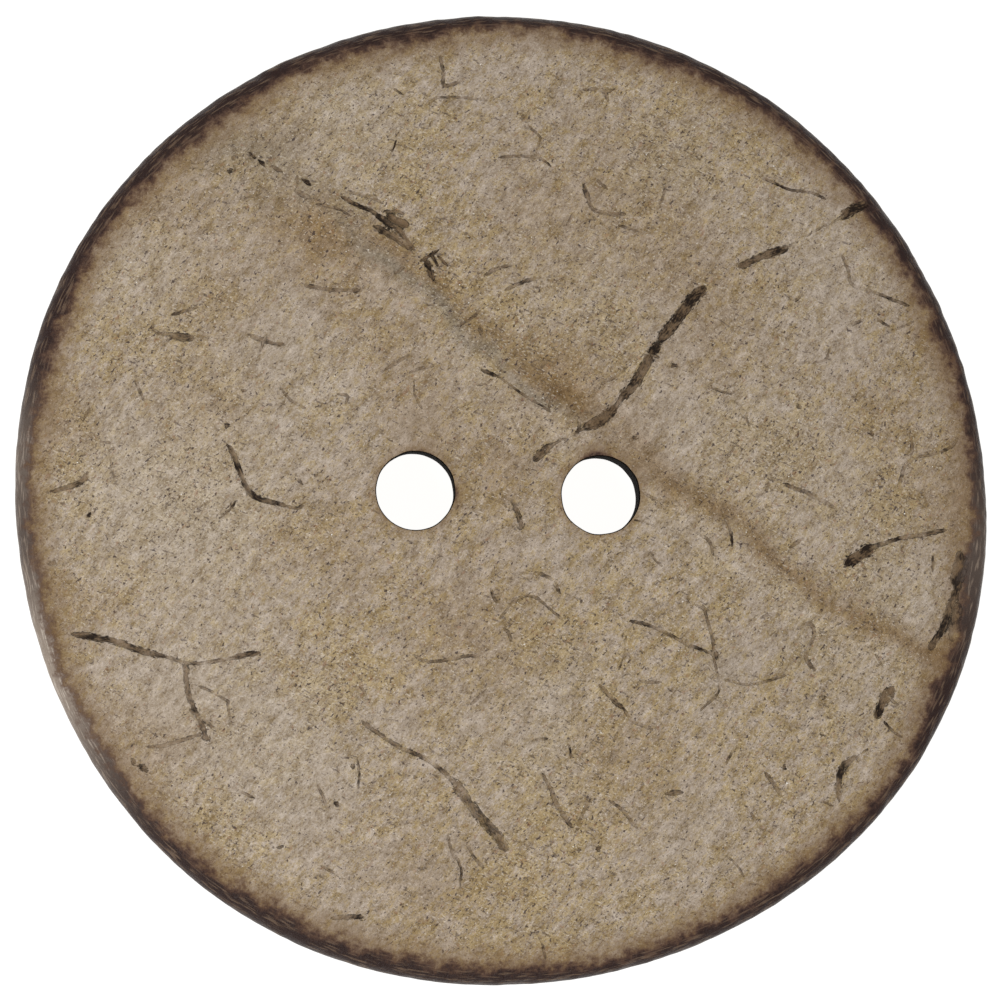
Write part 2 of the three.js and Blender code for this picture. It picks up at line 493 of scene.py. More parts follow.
BLEACHED = (
    Stain(-16.2, -1.7, 4.5, 0.8),
    Stain(-19.9, 1.3, 3.0, 0.5),
    Stain(-18.6, 11.8, 3.4, 0.5),
    Stain(-9.0, 19.3, 3.4, 0.5),
    Stain(-12.3, 6.1, 4.4, 0.4),
    Stain(-11.9, -12.8, 4.4, 0.6),
    Stain(4.1, 10.6, 4.4, 0.3),
    Stain(12.0, 3.6, 4.4, 0.4),
    Stain(17.3, 0.7, 3.0, 0.3),
    Stain(20.6, -4.4, 2.6, 0.5),
    Stain(18.6, -9.6, 2.0, 0.3),
    Stain(16.2, 12.2, 3.0, 0.3),
    Stain(8.2, 17.7, 2.6, 0.3),
    Stain(-17.0, -10.4, 2.4, 0.4),
    Stain(1.9, -11.6, 3.4, 0.4),
    Stain(9.9, -17.6, 2.6, 0.3),
)

BROWNED = (
    Stain(-9.6, 13.5, 1.3, 0.8),
    Stain(1.0, 14.0, 3.2, 0.3),
    Stain(10.6, 9.0, 3.2, 0.3),
    Stain(-6.0, 7.2, 2.2, 0.3),
    Stain(-17.2, 15.0, 2.4, 0.35),
    Stain(-9.0, -2.5, 2.6, 0.3),
    Stain(6.6, -13.6, 2.6, 0.3),
    Stain(-7.6, 11.6, 2.4, 0.5),
    Stain(-9.7, 12.2, 1.6, 0.6),
    Stain(-10.9, 11.7, 1.2, 0.4),
    Stain(-11.6, 14.4, 1.6, 0.6),
    Stain(-13.4, 17.9, 2.2, 0.45),
    Stain(2.6, 6.2, 2.6, 0.5),
    Stain(3.6, 5.6, 1.2, 0.5),
    Stain(6.0, 3.4, 1.8, 0.2),
    Stain(-4.0, 3.6, 2.4, 0.4),
    Stain(-0.4, 0.9, 2.4, 0.5),
    Stain(-1.8, -7.2, 3.6, 0.45),
    Stain(5.2, 16.2, 3.6, 0.35),
    Stain(8.6, 12.2, 3.0, 0.3),
    Stain(20.0, 4.6, 2.4, 0.35),
    Stain(23.4, 0.2, 2.4, 0.6),
    Stain(22.8, 8.6, 1.8, 0.5),
    Stain(-15.5, 4.5, 2.4, 0.3),
    Stain(-15.1, 9.9, 2.6, 0.3),
    Stain(-3.5, -20.3, 3.4, 0.3),
    Stain(-22.6, 3.4, 1.8, 0.5),
    Stain(-21.6, -6.0, 1.6, 0.4),
    Stain(-17.8, -13.0, 2.6, 0.4),
)

GREYED = (
    Stain(-14.8, 17.8, 1.7, 0.7),
    Stain(-12.6, 16.9, 1.5, 0.7),
    Stain(-10.6, 15.3, 0.9, 0.6),
    Stain(-8.6, 15.0, 1.0, 0.3),
    Stain(7.5, 17.5, 2.0, 0.25),
    Stain(15.5, -8.0, 1.6, 0.3),
    Stain(11.0, -9.0, 1.6, 0.3),
)

# The skin's soft colourings by name: the patches of each, which are stains, and its bands beside the seam.
# The browned bands are painted shade on the seam's upper right flank, away from the light; the bleached band
# is painted light on its lower left flank; the grey band on the crest is the skin's own.
STAINS_AND_SEAM_SHADING = {
    "bleached_and_seam_light": (BLEACHED, (SEAM_LIT_FLANK,)),
    "browned_and_seam_shade": (BROWNED, (SEAM_RIGHT_SHADE, SEAM_SHADE)),
    "greyed": (GREYED, (SEAM_GREY,)),
}


@dataclass(frozen=True)
class Marks:
    """What the strands and pits give at some points of the skin.

    Attributes:
        nearness: 1 on a mark's centre line, 0 at its edge and below 0 beyond it.
        tone: How dark the nearest mark is.
        depth: How deep the nearest mark's channel is.
        along: How far along the nearest mark.
        across: How far to the left of the nearest mark's centre line.
    """

    nearness: np.ndarray
    tone: np.ndarray
    depth: np.ndarray
    along: np.ndarray
    across: np.ndarray


@dataclass
class SkinMap:
    """Where the natural skin rises and falls, where it is marked and stained, and where the seam's shade and
    light are painted beside it.

    Attributes:
        strands: The fibre strands.
        pits: The pits.
        seam_height: How high the seam's crest stands.
        seam_width: How far from the crest it has mostly fallen away.
        trough_depth: How deep the hollow beside the seam is.
        trough_offset: How far from the crest the hollow is.
        rolling: The heights and sizes of the skin's own swells, from the widest to the narrowest.
        channel_step: How far apart the points of a strand's centre line are.
        deepest_channel: The depth that no strand's channel passes.
        channel_share: How deep a channel is beside its strand's width.
        lip_share: How high the channel's lips are beside its depth.
        wobble: How far a strand strays from its route.
        unevenness: How much its width changes along it.
        blunt_width: The width above which a strand's ends are blunt.
        blunt_taper: How long a blunt end's taper is, in the strand's widths.
        fine_taper: How long a fine end's taper is, in the strand's widths.
        pit_tear: How torn a pit's edge is.
        pit_turn: How far each pit is turned on from the one before, in radians.
        pit_squash: How much longer a pit is than wide.
        stain_drift: How far a stain's edge wanders.
        stain_strength: How much of its stated strength a patch has at its middle.
        seam_drift: How far the seam wanders.
        seam_fade: The share of the seam's length over which it, or a band beside it, fades in.
        reach: How far beyond a strand its nearness is worked out.
        nearness_floor: The nearness far from all marks.
        noise: The unevenness of it all.
    """

    strands: tuple[Strand, ...] = STRANDS
    pits: tuple[Pit, ...] = PITS
    seam_height: float = 0.17
    seam_width: float = 0.75
    trough_depth: float = 0.1
    trough_offset: float = 1.5
    rolling: tuple[tuple[float, float], ...] = ((0.06, 8.0), (0.028, 2.6), (0.012, 0.9))
    channel_step: float = 0.12
    deepest_channel: float = 0.2
    channel_share: float = 0.42
    lip_share: float = 0.14
    wobble: float = 0.035
    unevenness: float = 0.2
    blunt_width: float = 0.35
    blunt_taper: float = 0.25
    fine_taper: float = 1.6
    pit_tear: float = 0.07
    pit_turn: float = 2.4
    pit_squash: float = 1.6
    stain_drift: float = 1.1
    stain_strength: float = 0.8
    seam_drift: float = 0.5
    seam_fade: float = 0.12
    reach: float = 1.1
    nearness_floor: float = -3.0
    noise: Noise = field(default_factory=lambda: Noise(11))

    def __post_init__(self) -> None:
        """Works out each strand's centre line and half width once."""
        self.lines = [self._line(strand, number) for number, strand in enumerate(self.strands)]
        self.seam = curve_through(SEAM_ROUTE, 0.5)

    def _line(self, strand: Strand, number: int) -> tuple[np.ndarray, np.ndarray]:
        """A strand's centre line and its half width at each point of it.

        Args:
            strand: The strand.
            number: Its place in the list, which sets where its noise is read.

        Returns:
            The points and the half widths.
        """
        line = curve_through(strand.route, self.channel_step)
        along = np.concatenate([[0.0], np.cumsum(np.linalg.norm(np.diff(line, axis=0), axis=1))])
        lane = np.full(len(line), 7.3 * number + 0.5)
        to_end = np.minimum(along, along[-1] - along)
        blunt = strand.width > self.blunt_width
        taper_length = (self.blunt_taper if blunt else self.fine_taper) * strand.width
        taper = np.clip((to_end + 0.08) / taper_length, 0.2, 1.0) ** 0.6
        half = strand.width / 2 * taper * (1 + self.unevenness * self.noise.at(along, lane, 0.8))
        # The ends stay where the route puts them, and the rest wanders a little.
        free = np.clip(to_end / 0.5, 0, 1)
        line[:, 0] += self.wobble * free * self.noise.at(along, lane + 2.1, 1.1)
        line[:, 1] += self.wobble * free * self.noise.at(along, lane + 4.2, 1.1)
        return line, half

    def rails(self) -> np.ndarray:
        """Points on and along every mark, for the mesh to follow.

        Returns:
            The points, the middle of each mark first.
        """
        points = []
        # A share of the half width and how far beyond it: the middle, the edges, halfway in, just outside.
        for share, beyond in ((0.0, 0.0), (1.0, 0.0), (0.55, 0.0), (1.0, 0.1)):
            for line, half in self.lines:
                heading = np.gradient(line, axis=0)
                heading /= np.linalg.norm(heading, axis=1)[:, None]
                side = np.column_stack([-heading[:, 1], heading[:, 0]])
                offset = (share * half + beyond)[:, None]
                points.append(line + side * offset)
                if share:
                    points.append(line - side * offset)
        for pit in self.pits:
            points.append(np.array([[pit.x, pit.y]]))
            for share in (0.5, 1.0, 1.5):
                turn = np.arange(8) / 8 * TURN
                ring = pit.radius * share * np.column_stack([np.cos(turn), np.sin(turn)])
                points.append(ring + (pit.x, pit.y))
        return np.vstack(points)

    def marks(self, x: np.ndarray, y: np.ndarray) -> Marks:
        """The nearest strand or pit at each of some points.

        Args:
            x: The points' x.
            y: The points' y.

        Returns:
            What it gives at each point.
        """
        places = np.column_stack([x, y])
        nearness = np.full(len(places), self.nearness_floor)
        tone = np.zeros(len(places))
        depth = np.zeros(len(places))
        along, across = np.array(places).T.copy()
        for number, (strand, (line, half)) in enumerate(zip(self.strands, self.lines)):
            low, high = line.min(axis=0) - self.reach, line.max(axis=0) + self.reach
            near = np.flatnonzero(((places > low) & (places < high)).all(axis=1))
            if not len(near):
                continue
            start, run = line[:-1], np.diff(line, axis=0)
            offset = places[near][:, None, :] - start
            share = np.clip((offset * run).sum(axis=2) / (run * run).sum(axis=1), 0, 1)
            away = np.linalg.norm(offset - share[:, :, None] * run, axis=2)
            best = away.argmin(axis=1)
            rows = np.arange(len(near))
            width = half[best] + (half[best + 1] - half[best]) * share[rows, best]
            found = np.maximum(1 - away[rows, best] / width, self.nearness_floor)
            better = found > nearness[near]
            nearness[near[better]] = found[better]
            tone[near[better]] = strand.tone
            depth[near[better]] = min(self.deepest_channel, self.channel_share * strand.width) * strand.tone
            beside = run[best, 0] * offset[rows, best, 1] - run[best, 1] * offset[rows, best, 0]
            across[near[better]] = (np.sign(beside) * away[rows, best])[better]
            along[near[better]] = ((best + share[rows, best]) * self.channel_step + 9.0 * number)[better]
        self._mark_pits(x, y, nearness, tone, depth)
        return Marks(nearness, tone, depth, along, across)

    def _mark_pits(
        self, x: np.ndarray, y: np.ndarray, nearness: np.ndarray, tone: np.ndarray, depth: np.ndarray
    ) -> None:
        """Enters the pits in what the strands gave, wherever a pit is nearer.

        Args:
            x: The points' x.
            y: The points' y.
            nearness: How near a mark is, which is changed.
            tone: How dark it is, which is changed.
            depth: How deep it is, which is changed.
        """
        ragged_x = x + self.pit_tear * self.noise.at(x, y, 0.17)
        ragged_y = y + self.pit_tear * self.noise.at(x + 30, y, 0.17)
        for number, pit in enumerate(self.pits):
            dx, dy = ragged_x - pit.x, ragged_y - pit.y
            turn = self.pit_turn * number
            long_way = dx * math.cos(turn) + dy * math.sin(turn)
            short_way = dy * math.cos(turn) - dx * math.sin(turn)
            found = 1 - np.hypot(long_way, self.pit_squash * short_way) / pit.radius
            better = found > nearness
            nearness[better] = found[better]
            tone[better] = pit.tone
            depth[better] = pit.radius * pit.tone * 0.5

    def drifted(
        self, x: np.ndarray, y: np.ndarray, drift: float, size: float
    ) -> tuple[np.ndarray, np.ndarray]:
        """Some points, moved by up to about a drift by noise of a size."""
        return x + drift * self.noise.at(x, y, size), y + drift * self.noise.at(x + 20, y, size)

    def stained(
        self, x: np.ndarray, y: np.ndarray, patches: Sequence[Stain], bands: Sequence[SeamBand]
    ) -> np.ndarray:
        """How strongly one kind of stain colours some points, with the seam's painted shade or light that
        goes with it.

        Args:
            x: The points' x.
            y: The points' y.
            patches: Its patches.
            bands: Its bands beside the seam.

        Returns:
            The strengths, from 0 to 1.
        """
        total = self.patch_stain(x, y, patches)
        for band in bands:
            total = total + self.seam_stain_and_shading(x, y, band)
        return np.clip(total, 0, 1)

    def patch_stain(self, x: np.ndarray, y: np.ndarray, patches: Sequence[Stain]) -> np.ndarray:
        """How strongly some soft patches colour some points.

        Args:
            x: The points' x.
            y: The points' y.
            patches: The patches.

        Returns:
            The strengths, from 0 to about 1.
        """
        shifted_x = x + self.stain_drift * self.noise.at(x, y, 2.6)
        shifted_y = y + self.stain_drift * self.noise.at(x + 40, y, 2.6)
        clear = np.ones(np.shape(x))
        for patch in patches:
            away = np.hypot(shifted_x - patch.x, shifted_y - patch.y) / patch.radius
            clear *= 1 - patch.strength * np.exp(-(away**2)) * self.stain_strength
        return 1 - clear

    def seam_offset(self, x: np.ndarray, y: np.ndarray) -> tuple[np.ndarray, np.ndarray]:
        """How far some points are from the seam's crest, and how far along it.

        Args:
            x: The points' x.
            y: The points' y.

        Returns:
            The distance, above zero on the upper right side, and the share of the seam's length.
        """
        best = np.full(np.shape(x), 1e9)
        signed = np.full(np.shape(x), 1e9)
        along = np.zeros(np.shape(x))
        for number, (start, end) in enumerate(zip(self.seam, self.seam[1:])):
            run = end - start
            share = np.clip(((x - start[0]) * run[0] + (y - start[1]) * run[1]) / (run @ run), 0, 1)
            dx, dy = x - start[0] - share * run[0], y - start[1] - share * run[1]
            away = np.hypot(dx, dy)
            closer = away < best
            best = np.where(closer, away, best)
            signed = np.where(closer, np.sign(dy * run[0] - dx * run[1]) * away, signed)
            along = np.where(closer, (number + share) / (len(self.seam) - 1), along)
        return signed, along

    def seam_stain_and_shading(self, x: np.ndarray, y: np.ndarray, band: SeamBand) -> np.ndarray:
        """How strongly a band beside the seam colours some points.

        Args:
            x: The points' x.
            y: The points' y.
            band: The band.

        Returns:
            The strengths, from 0 to 1.
        """
        off, along = self.seam_offset(*self.drifted(x, y, 0.6, 2.2))
        fade_in = smooth_step(along, band.start, band.start + self.seam_fade)
        reach = fade_in * (1 - smooth_step(along, band.end - self.seam_fade, band.end))
        fade = 1 + 0.35 * self.noise.at(x + 70, y, 1.8)
        across = np.exp(-(((off - band.offset) / band.width) ** 2))
        return np.clip(band.strength * reach * fade * across, 0, 1)

    def height(self, x: np.ndarray, y: np.ndarray, marks: Marks) -> np.ndarray:
        """How far the skin stands above the plain dome.

        Args:
            x: The points' x.
            y: The points' y.
            marks: The marks at the same points.

        Returns:
            The height at each point, below zero in the channels.
        """
        noise = self.noise
        wide, middling, narrow = self.rolling
        rolling = wide[0] * noise.at(x, y + 90, wide[1]) + middling[0] * noise.at(x + 60, y, middling[1])
        rolling += narrow[0] * noise.at(x, y + 30, narrow[1])
        off, along = self.seam_offset(*self.drifted(x, y, self.seam_drift, 3.0))
        present = smooth_step(along, 0.0, self.seam_fade) * (1 - 0.5 * smooth_step(along, 0.9, 1.0))
        present = present * (1 + 0.3 * noise.at(x, y + 50, 4.0))
        crest = self.seam_height * np.exp(-((off / self.seam_width) ** 2) / 2)
        trough = self.trough_depth * np.exp(-(((off - self.trough_offset) / self.seam_width) ** 2) / 2)
        across = 1 - np.clip(marks.nearness, None, 1)
        channel = marks.depth * np.clip(1 - across**2, 0, None) ** 2
        lip = self.lip_share * marks.depth * np.exp(-(((across - 1.4) / 0.4) ** 2))
        return rolling + present * (crest - trough) - channel + lip


# ---- The hand-cut rim ----


@dataclass(frozen=True)
class RimArc:
    """A stretch of the rim, or of a thread hole's mouth, that differs from the rest.

    Attributes:
        middle: The angle of its middle, in degrees from +X towards +Y.
        spread: How far it reaches to either side, in degrees.
        amount: What it adds at its middle.
    """

    middle: float
    spread: float
    amount: float


def sum_of_arcs(turn: np.ndarray, arcs: Sequence[RimArc]) -> np.ndarray:
    """What some arcs add in all.

    Args:
        turn: The angles to give it at, in radians.
        arcs: The arcs.

    Returns:
        The sum at each angle.
    """
    total = np.zeros(np.shape(turn))
    for arc in arcs:
        off = (np.degrees(turn) - arc.middle + 180) % 360 - 180
        total += arc.amount * np.exp(-((off / arc.spread) ** 2))
    return total


@dataclass
class RimOutline:
    """The rim at each angle: how far out it is, how wide its rounding is, how far in it is worn and how much
    highlight is painted on it.

    Attributes:
        bevel_width: How wide the rounding at the face's edge is.
        worn_width: How far in the skin is worn through.
        wider_bevel: Where the rounding differs.
        more_wear: Where the wear differs.
        painted_highlight_arcs: Where a pale highlight is painted on the edge, strongest where the rounding
            faces the light.
        roughness_of_cut: How uneven the saw left the side wall.
        wall_depth: How far in from the widest point the CAD disc's side wall is looked for.
        noise: The unevenness of it all.
    """

    bevel_width: float = 0.62
    worn_width: float = 0.72
    wider_bevel: tuple[RimArc, ...] = (RimArc(203, 16, 0.22), RimArc(243, 16, 0.05), RimArc(352, 16, -0.16))
    more_wear: tuple[RimArc, ...] = (
        RimArc(243, 16, 0.15),
        RimArc(134, 18, 0.22),
        RimArc(104, 6, 0.2),
        RimArc(60, 9, 0.16),
        RimArc(352, 3, 0.4),
        RimArc(336, 4, 0.35),
        RimArc(203, 12, -0.2),
        RimArc(285, 9, -0.16),
        RimArc(90, 6, -0.16),
        RimArc(15, 8, -0.14),
        RimArc(330, 8, -0.16),
    )
    # Pale highlight painted on the rounding: most on the lower left, where it faces the light, less on the
    # right and the left.
    painted_highlight_arcs: tuple[RimArc, ...] = (RimArc(202, 12, 1.0), RimArc(355, 9, 0.25), RimArc(177, 7, 0.4))
    roughness_of_cut: float = 0.035
    wall_depth: float = 0.9
    noise: Noise = field(default_factory=lambda: Noise(23))

    def __post_init__(self) -> None:
        """Reads the outline from the side wall of the CAD disc."""
        corners = np.array([corner.co for corner in frame["nodes"][DISC_NODE].data.vertices]) / MM
        out = np.hypot(corners[:, 0], corners[:, 1])
        wall = out > out.max() - self.wall_depth
        widest = np.round(np.degrees(np.arctan2(corners[wall, 1], corners[wall, 0])), 2)
        self.turns = np.unique(widest)
        self.radii = np.array([out[wall][widest == turn].max() for turn in self.turns])

    def ragged(self, turn: np.ndarray, size: float, lane: float) -> np.ndarray:
        """Noise along the rim, at angles in radians. Its lane says which stretch of the noise is read."""
        radius = RIM_RADIUS / size
        return self.noise.at(radius * np.cos(turn) + lane, radius * np.sin(turn) + lane, 1.0)

    def lumps(self, turn: np.ndarray, lane: float) -> np.ndarray:
        """The unevenness of the rim's rounding.

        Args:
            turn: The angles, in radians.
            lane: How far across the rounding, from 0 to 1.

        Returns:
            The unevenness, mostly within one either way.
        """
        coarse = self.ragged(turn, 1.4, 47.0 + 0.6 * lane)
        fine = self.ragged(turn, 0.55, 11.0 + 1.2 * lane)
        return 0.7 * coarse + 0.5 * fine

    def radius(self, turn: np.ndarray) -> np.ndarray:
        """How far out the rim's side wall is, at angles in radians."""
        smooth = np.interp(np.degrees(turn), self.turns, self.radii, period=360)
        ragged = 0.7 * self.ragged(turn, 1.7, 3.3) + 0.4 * self.ragged(turn, 0.6, 91.3)
        return smooth + self.roughness_of_cut * (ragged - 0.5)

    def bevel(self, turn: np.ndarray) -> np.ndarray:
        """How wide the rounding at the face's edge is, at angles in radians."""
        return self.bevel_width + sum_of_arcs(turn, self.wider_bevel) + 0.06 * self.ragged(turn, 2.2, 17.7)

    def worn(self, turn: np.ndarray) -> np.ndarray:
        """How far in the skin is worn through, at angles in radians."""
        uneven = 0.1 * self.ragged(turn, 1.8, 55.1) + 0.16 * self.ragged(turn, 7.0, 29.4)
        return self.worn_width + sum_of_arcs(turn, self.more_wear) + uneven

    def painted_rim_highlight(self, turn: np.ndarray) -> np.ndarray:
        """How strongly a pale highlight is painted on the edge, from 0 to 1, at angles in radians."""
        return np.clip(sum_of_arcs(turn, self.painted_highlight_arcs), 0, 1)


# ---- Finishes ----


class Surface(Enum):
    """The kinds of surface on the disc, in the order of its material slots."""

    SKIN = 0
    INNER_FACE = 1
    GROUND_RING = 2
    BORE = 3


SKIN_ATTRIBUTES = (*STAINS_AND_SEAM_SHADING, "vein", "vein_tone", "vein_along", "vein_across", "wear", "painted_rim_highlight")


@dataclass(frozen=True)
class Fleck:
    """One scale of marking in the skin.

    Attributes:
        size: How big its noise is.
        colour: The colour that it brings, as sRGB hex.
        start: The noise level where it starts.
        full: The noise level where it is at full strength.
        amount: Its full strength, from 0 to 1.
        drawn_out: How much longer it is along the fibre than across.
        detail: How many finer scales its noise adds.
    """

    size: float
    colour: int
    start: float
    full: float
    amount: float
    drawn_out: float = 1.0
    detail: float = 2.0


def new_material(name: str) -> bpy.types.Material:
    """An empty node material of that name."""
    material = bpy.data.materials.new(name)
    material.use_nodes = True
    material.node_tree.nodes.clear()
    return material


@dataclass(frozen=True)
class SoftStep:
    """A soft step from nothing to full strength as some value grows.

    Attributes:
        start: The value where it starts.
        full: The value where it is at full strength.
        most: The full strength, from 0 to 1.
    """

    start: float
    full: float
    most: float = 1.0

    def of(self, value: bpy.types.Node) -> dict:
        """The inputs of a map range node that takes this step."""
        return {0: value, 1: self.start, 2: self.full, 4: self.most}


def place_in_mm(tree: bpy.types.NodeTree) -> bpy.types.Node:
    """Where a point is, in millimetres from the frame's origin."""
    spot = add(tree, "TexCoord").outputs["Object"]
    return add(tree, "VectorMath", {0: spot, "Scale": 1 / MM}, operation="SCALE")


@dataclass(frozen=True)
class SkinInputs:
    """What each layer of the skin's material is made from.

    Attributes:
        tree: The material's node tree.
        place: Where a point is, in millimetres.
        marks: The disc's point attributes, by name.
    """

    tree: bpy.types.NodeTree
    place: bpy.types.Node
    marks: dict[str, bpy.types.NodeSocket]


@dataclass(frozen=True)
class WeatheredSkinFinish:
    """Coconut skin, weathered and left bare, worn through at the rim to glossy shell with painted highlights.

    The skin scatters light like dry bark: matt, grey-brown, with dark and rusty flecks drawn out along the
    fibre, and a few near-white flecks that are painted glints. The bare shell at the rim is dark brown and
    glossy, so it mirrors the pale surroundings; pale streaks along it are painted glints, and where its
    rounding faces the light a pale highlight is painted into its colour.
    All sizes are the real ones. The finest, the fibrils and flecks, are just wide enough to show.

    Attributes:
        name: The material's name.
        ash: The skin's grey patches, as sRGB hex like all its colours.
        ochre: Its yellower patches.
        bleached_and_seam_light: Where it is paler in soft patches, and the painted light on the seam's lower
            left flank.
        browned_and_seam_shade: Where it is stained brown in soft patches, and the shade on the seam's upper
            right flank, painted as brown.
        greyed: Where it is stained grey.
        strand: The dark fibrils of a strand.
        strand_core: The browner ones under them.
        toasted: The skin as it nears the rim.
        rusty: The thin edge of it before the bare shell.
        shell: The bare shell.
        streak: The streaks along it: fibre in their relief, and painted glints in their pale colour.
        painted_highlight_tint: The shell's colour where a pale highlight is painted on the rim.
        painted_highlight_streak: The colour of the painted glint streaks there.
        fibre_turn: Which way the fibre runs, in degrees from +X.
        cross_turn: Which way the layer under it runs.
        skin_roughness: How matt the skin is.
        shell_roughness: How matt the bare shell is.
        specular_level: How much both mirror, where 0.5 is a clean surface.
        ior: The index of refraction of dry shell.
        blotch_size: How big the skin's soft patches are.
        speckle_size: How big the largest speckles are.
        speckle_contrast: How strong they are.
        speckle_warmth: How much of them each of red, green and blue takes.
        speckle_relief: How high they stand.
        speckle_drawn_out: How much longer they are along the fibre.
        fleck_crowding: How much the flecks follow the soft patches.
        ochre_patch: How much the ochre follows them.
        ochre_step: Where the ochre starts.
        fibril_size: How wide a strand's fibrils are.
        fibril_length: How much longer than wide they are.
        fibril_tear: How much they tear the strand's edge.
        fibril_contrast: How much they differ.
        strand_edge: Where a strand starts.
        strand_dark: Where its dark fibrils start.
        strand_patch: How patchy its dark is.
        strand_depth: How much a dark strand's tone adds.
        strand_relief: How deep a strand lies below the skin.
        piece_size: How long the pieces are that a pale strand is broken into.
        piece_contrast: How sharply they end.
        breakup: How broken up the palest strands are.
        border_size: How big the bites in the skin's edge at the rim are.
        border_tear: How deep they are.
        toast_step: Where the skin darkens towards the rim.
        rust_step: Where it turns rusty.
        worn_step: Where it is worn through.
        streak_step: Where the shell's streaks show.
        wall_step: How far down the side wall the painted glints and highlight give way to plain dark shell.
        streak_relief: How deep the streaks are.
        rim_streak: How wide they are.
        rim_streak_length: How much longer than wide they are, along the rim.
        flecks: The markings, from the commonest to the rarest; the rarest, near-white ones are painted
            glints.
    """

    name: str = "weathered_coconut_skin"
    ash: int = 0xA69787
    ochre: int = 0x9E8963
    bleached_and_seam_light: int = 0xAC9E8C
    browned_and_seam_shade: int = 0x806642
    greyed: int = 0x877B6A
    strand: int = 0x261D16
    strand_core: int = 0x735D45
    toasted: int = 0x775E40
    rusty: int = 0x4A3028
    shell: int = 0x281611
    streak: int = 0x64503F
    painted_highlight_tint: int = 0x8E8073
    painted_highlight_streak: int = 0xBDB1A4
    fibre_turn: float = 48.0
    cross_turn: float = -22.0
    skin_roughness: float = 0.88
    shell_roughness: float = 0.42
    specular_level: float = 0.2
    ior: float = 1.5
    blotch_size: float = 6.0
    speckle_size: float = 0.6
    speckle_contrast: float = 2.7
    speckle_warmth: tuple[float, float, float] = (0.88, 1.0, 1.22)
    speckle_relief: float = 0.14
    speckle_drawn_out: float = 1.7
    fleck_crowding: float = 0.2
    ochre_patch: float = 0.6
    ochre_step: SoftStep = SoftStep(0.7, 0.95)
    fibril_size: float = 0.08
    fibril_length: float = 3.0
    fibril_tear: float = 2.0
    fibril_contrast: float = 1.2
    strand_edge: SoftStep = SoftStep(0.82, 1.1)
    strand_dark: SoftStep = SoftStep(1.45, 1.9)
    strand_patch: float = 1.6
    strand_depth: float = 0.3
    piece_size: float = 0.8
    piece_contrast: float = 3.6
    breakup: float = 1.2
    border_size: float = 0.8
    border_tear: float = 2.0
    toast_step: SoftStep = SoftStep(-1.0, 0.95, 0.75)
    rust_step: SoftStep = SoftStep(0.35, 1.05, 0.85)
    worn_step: SoftStep = SoftStep(0.7, 1.3)
    streak_step: SoftStep = SoftStep(0.5, 0.68, 0.9)
    wall_step: SoftStep = SoftStep(-1.75, -1.35, 0.6)
    streak_relief: float = 0.03
    strand_relief: float = 0.08
    rim_streak: float = 0.13
    rim_streak_length: float = 7.0
    flecks: tuple[Fleck, ...] = (
        Fleck(0.1, 0x43372E, 0.68, 0.78, 0.5, 1.6),
        Fleck(0.09, 0xD6CABA, 0.7, 0.8, 0.5, 1.8),
        Fleck(0.15, 0x33272A, 0.74, 0.8, 0.8, 1.5),
        Fleck(0.14, 0x4C403A, 0.72, 0.81, 0.6, 3.0),
        Fleck(0.25, 0x8A5C3C, 0.73, 0.85, 0.35, 1.4),
        # Painted glints: rare tiny near-white highlights on the skin.
        Fleck(0.16, 0xF2EEE6, 0.86, 0.89, 0.9),
    )

    def build(self) -> bpy.types.Material:
        """Builds the material.

        Returns:
            The material, which reads the disc's point attributes.
        """
        material = new_material(self.name)
        tree = material.node_tree
        place = place_in_mm(tree)
        marks = {
            name: add(tree, "Attribute", attribute_name=name).outputs["Fac"]
            for name in SKIN_ATTRIBUTES
        }
        given = SkinInputs(tree, place, marks)
        colour, grain = self.skin(given)
        colour, ragged = self.toast(given, colour)
        colour, inside = self.strands(given, colour)
        colour, worn, streaks = self.bare_rim(given, colour, ragged)
        roughness = add(tree, "MapRange", {0: worn, 3: self.skin_roughness, 4: self.shell_roughness})
        relief = add(tree, "Bump", {"Strength": 1.0, "Distance": self.speckle_relief * MM, "Height": grain})
        relief = add(
            tree,
            "Bump",
            {"Strength": worn, "Distance": self.streak_relief * MM, "Height": streaks, "Normal": relief},
        )
        relief = add(
            tree,
            "Bump",
            {"Strength": 1.0, "Distance": self.strand_relief * MM, "Height": inside, "Normal": relief},
            invert=True,
        )
        looks = {
            "Base Color": colour,
            "Roughness": roughness,
            "IOR": self.ior,
            "Specular IOR Level": self.specular_level,
            "Normal": relief,
        }
        add(tree, "OutputMaterial", {"Surface": add(tree, "BsdfPrincipled", looks)})
        return material

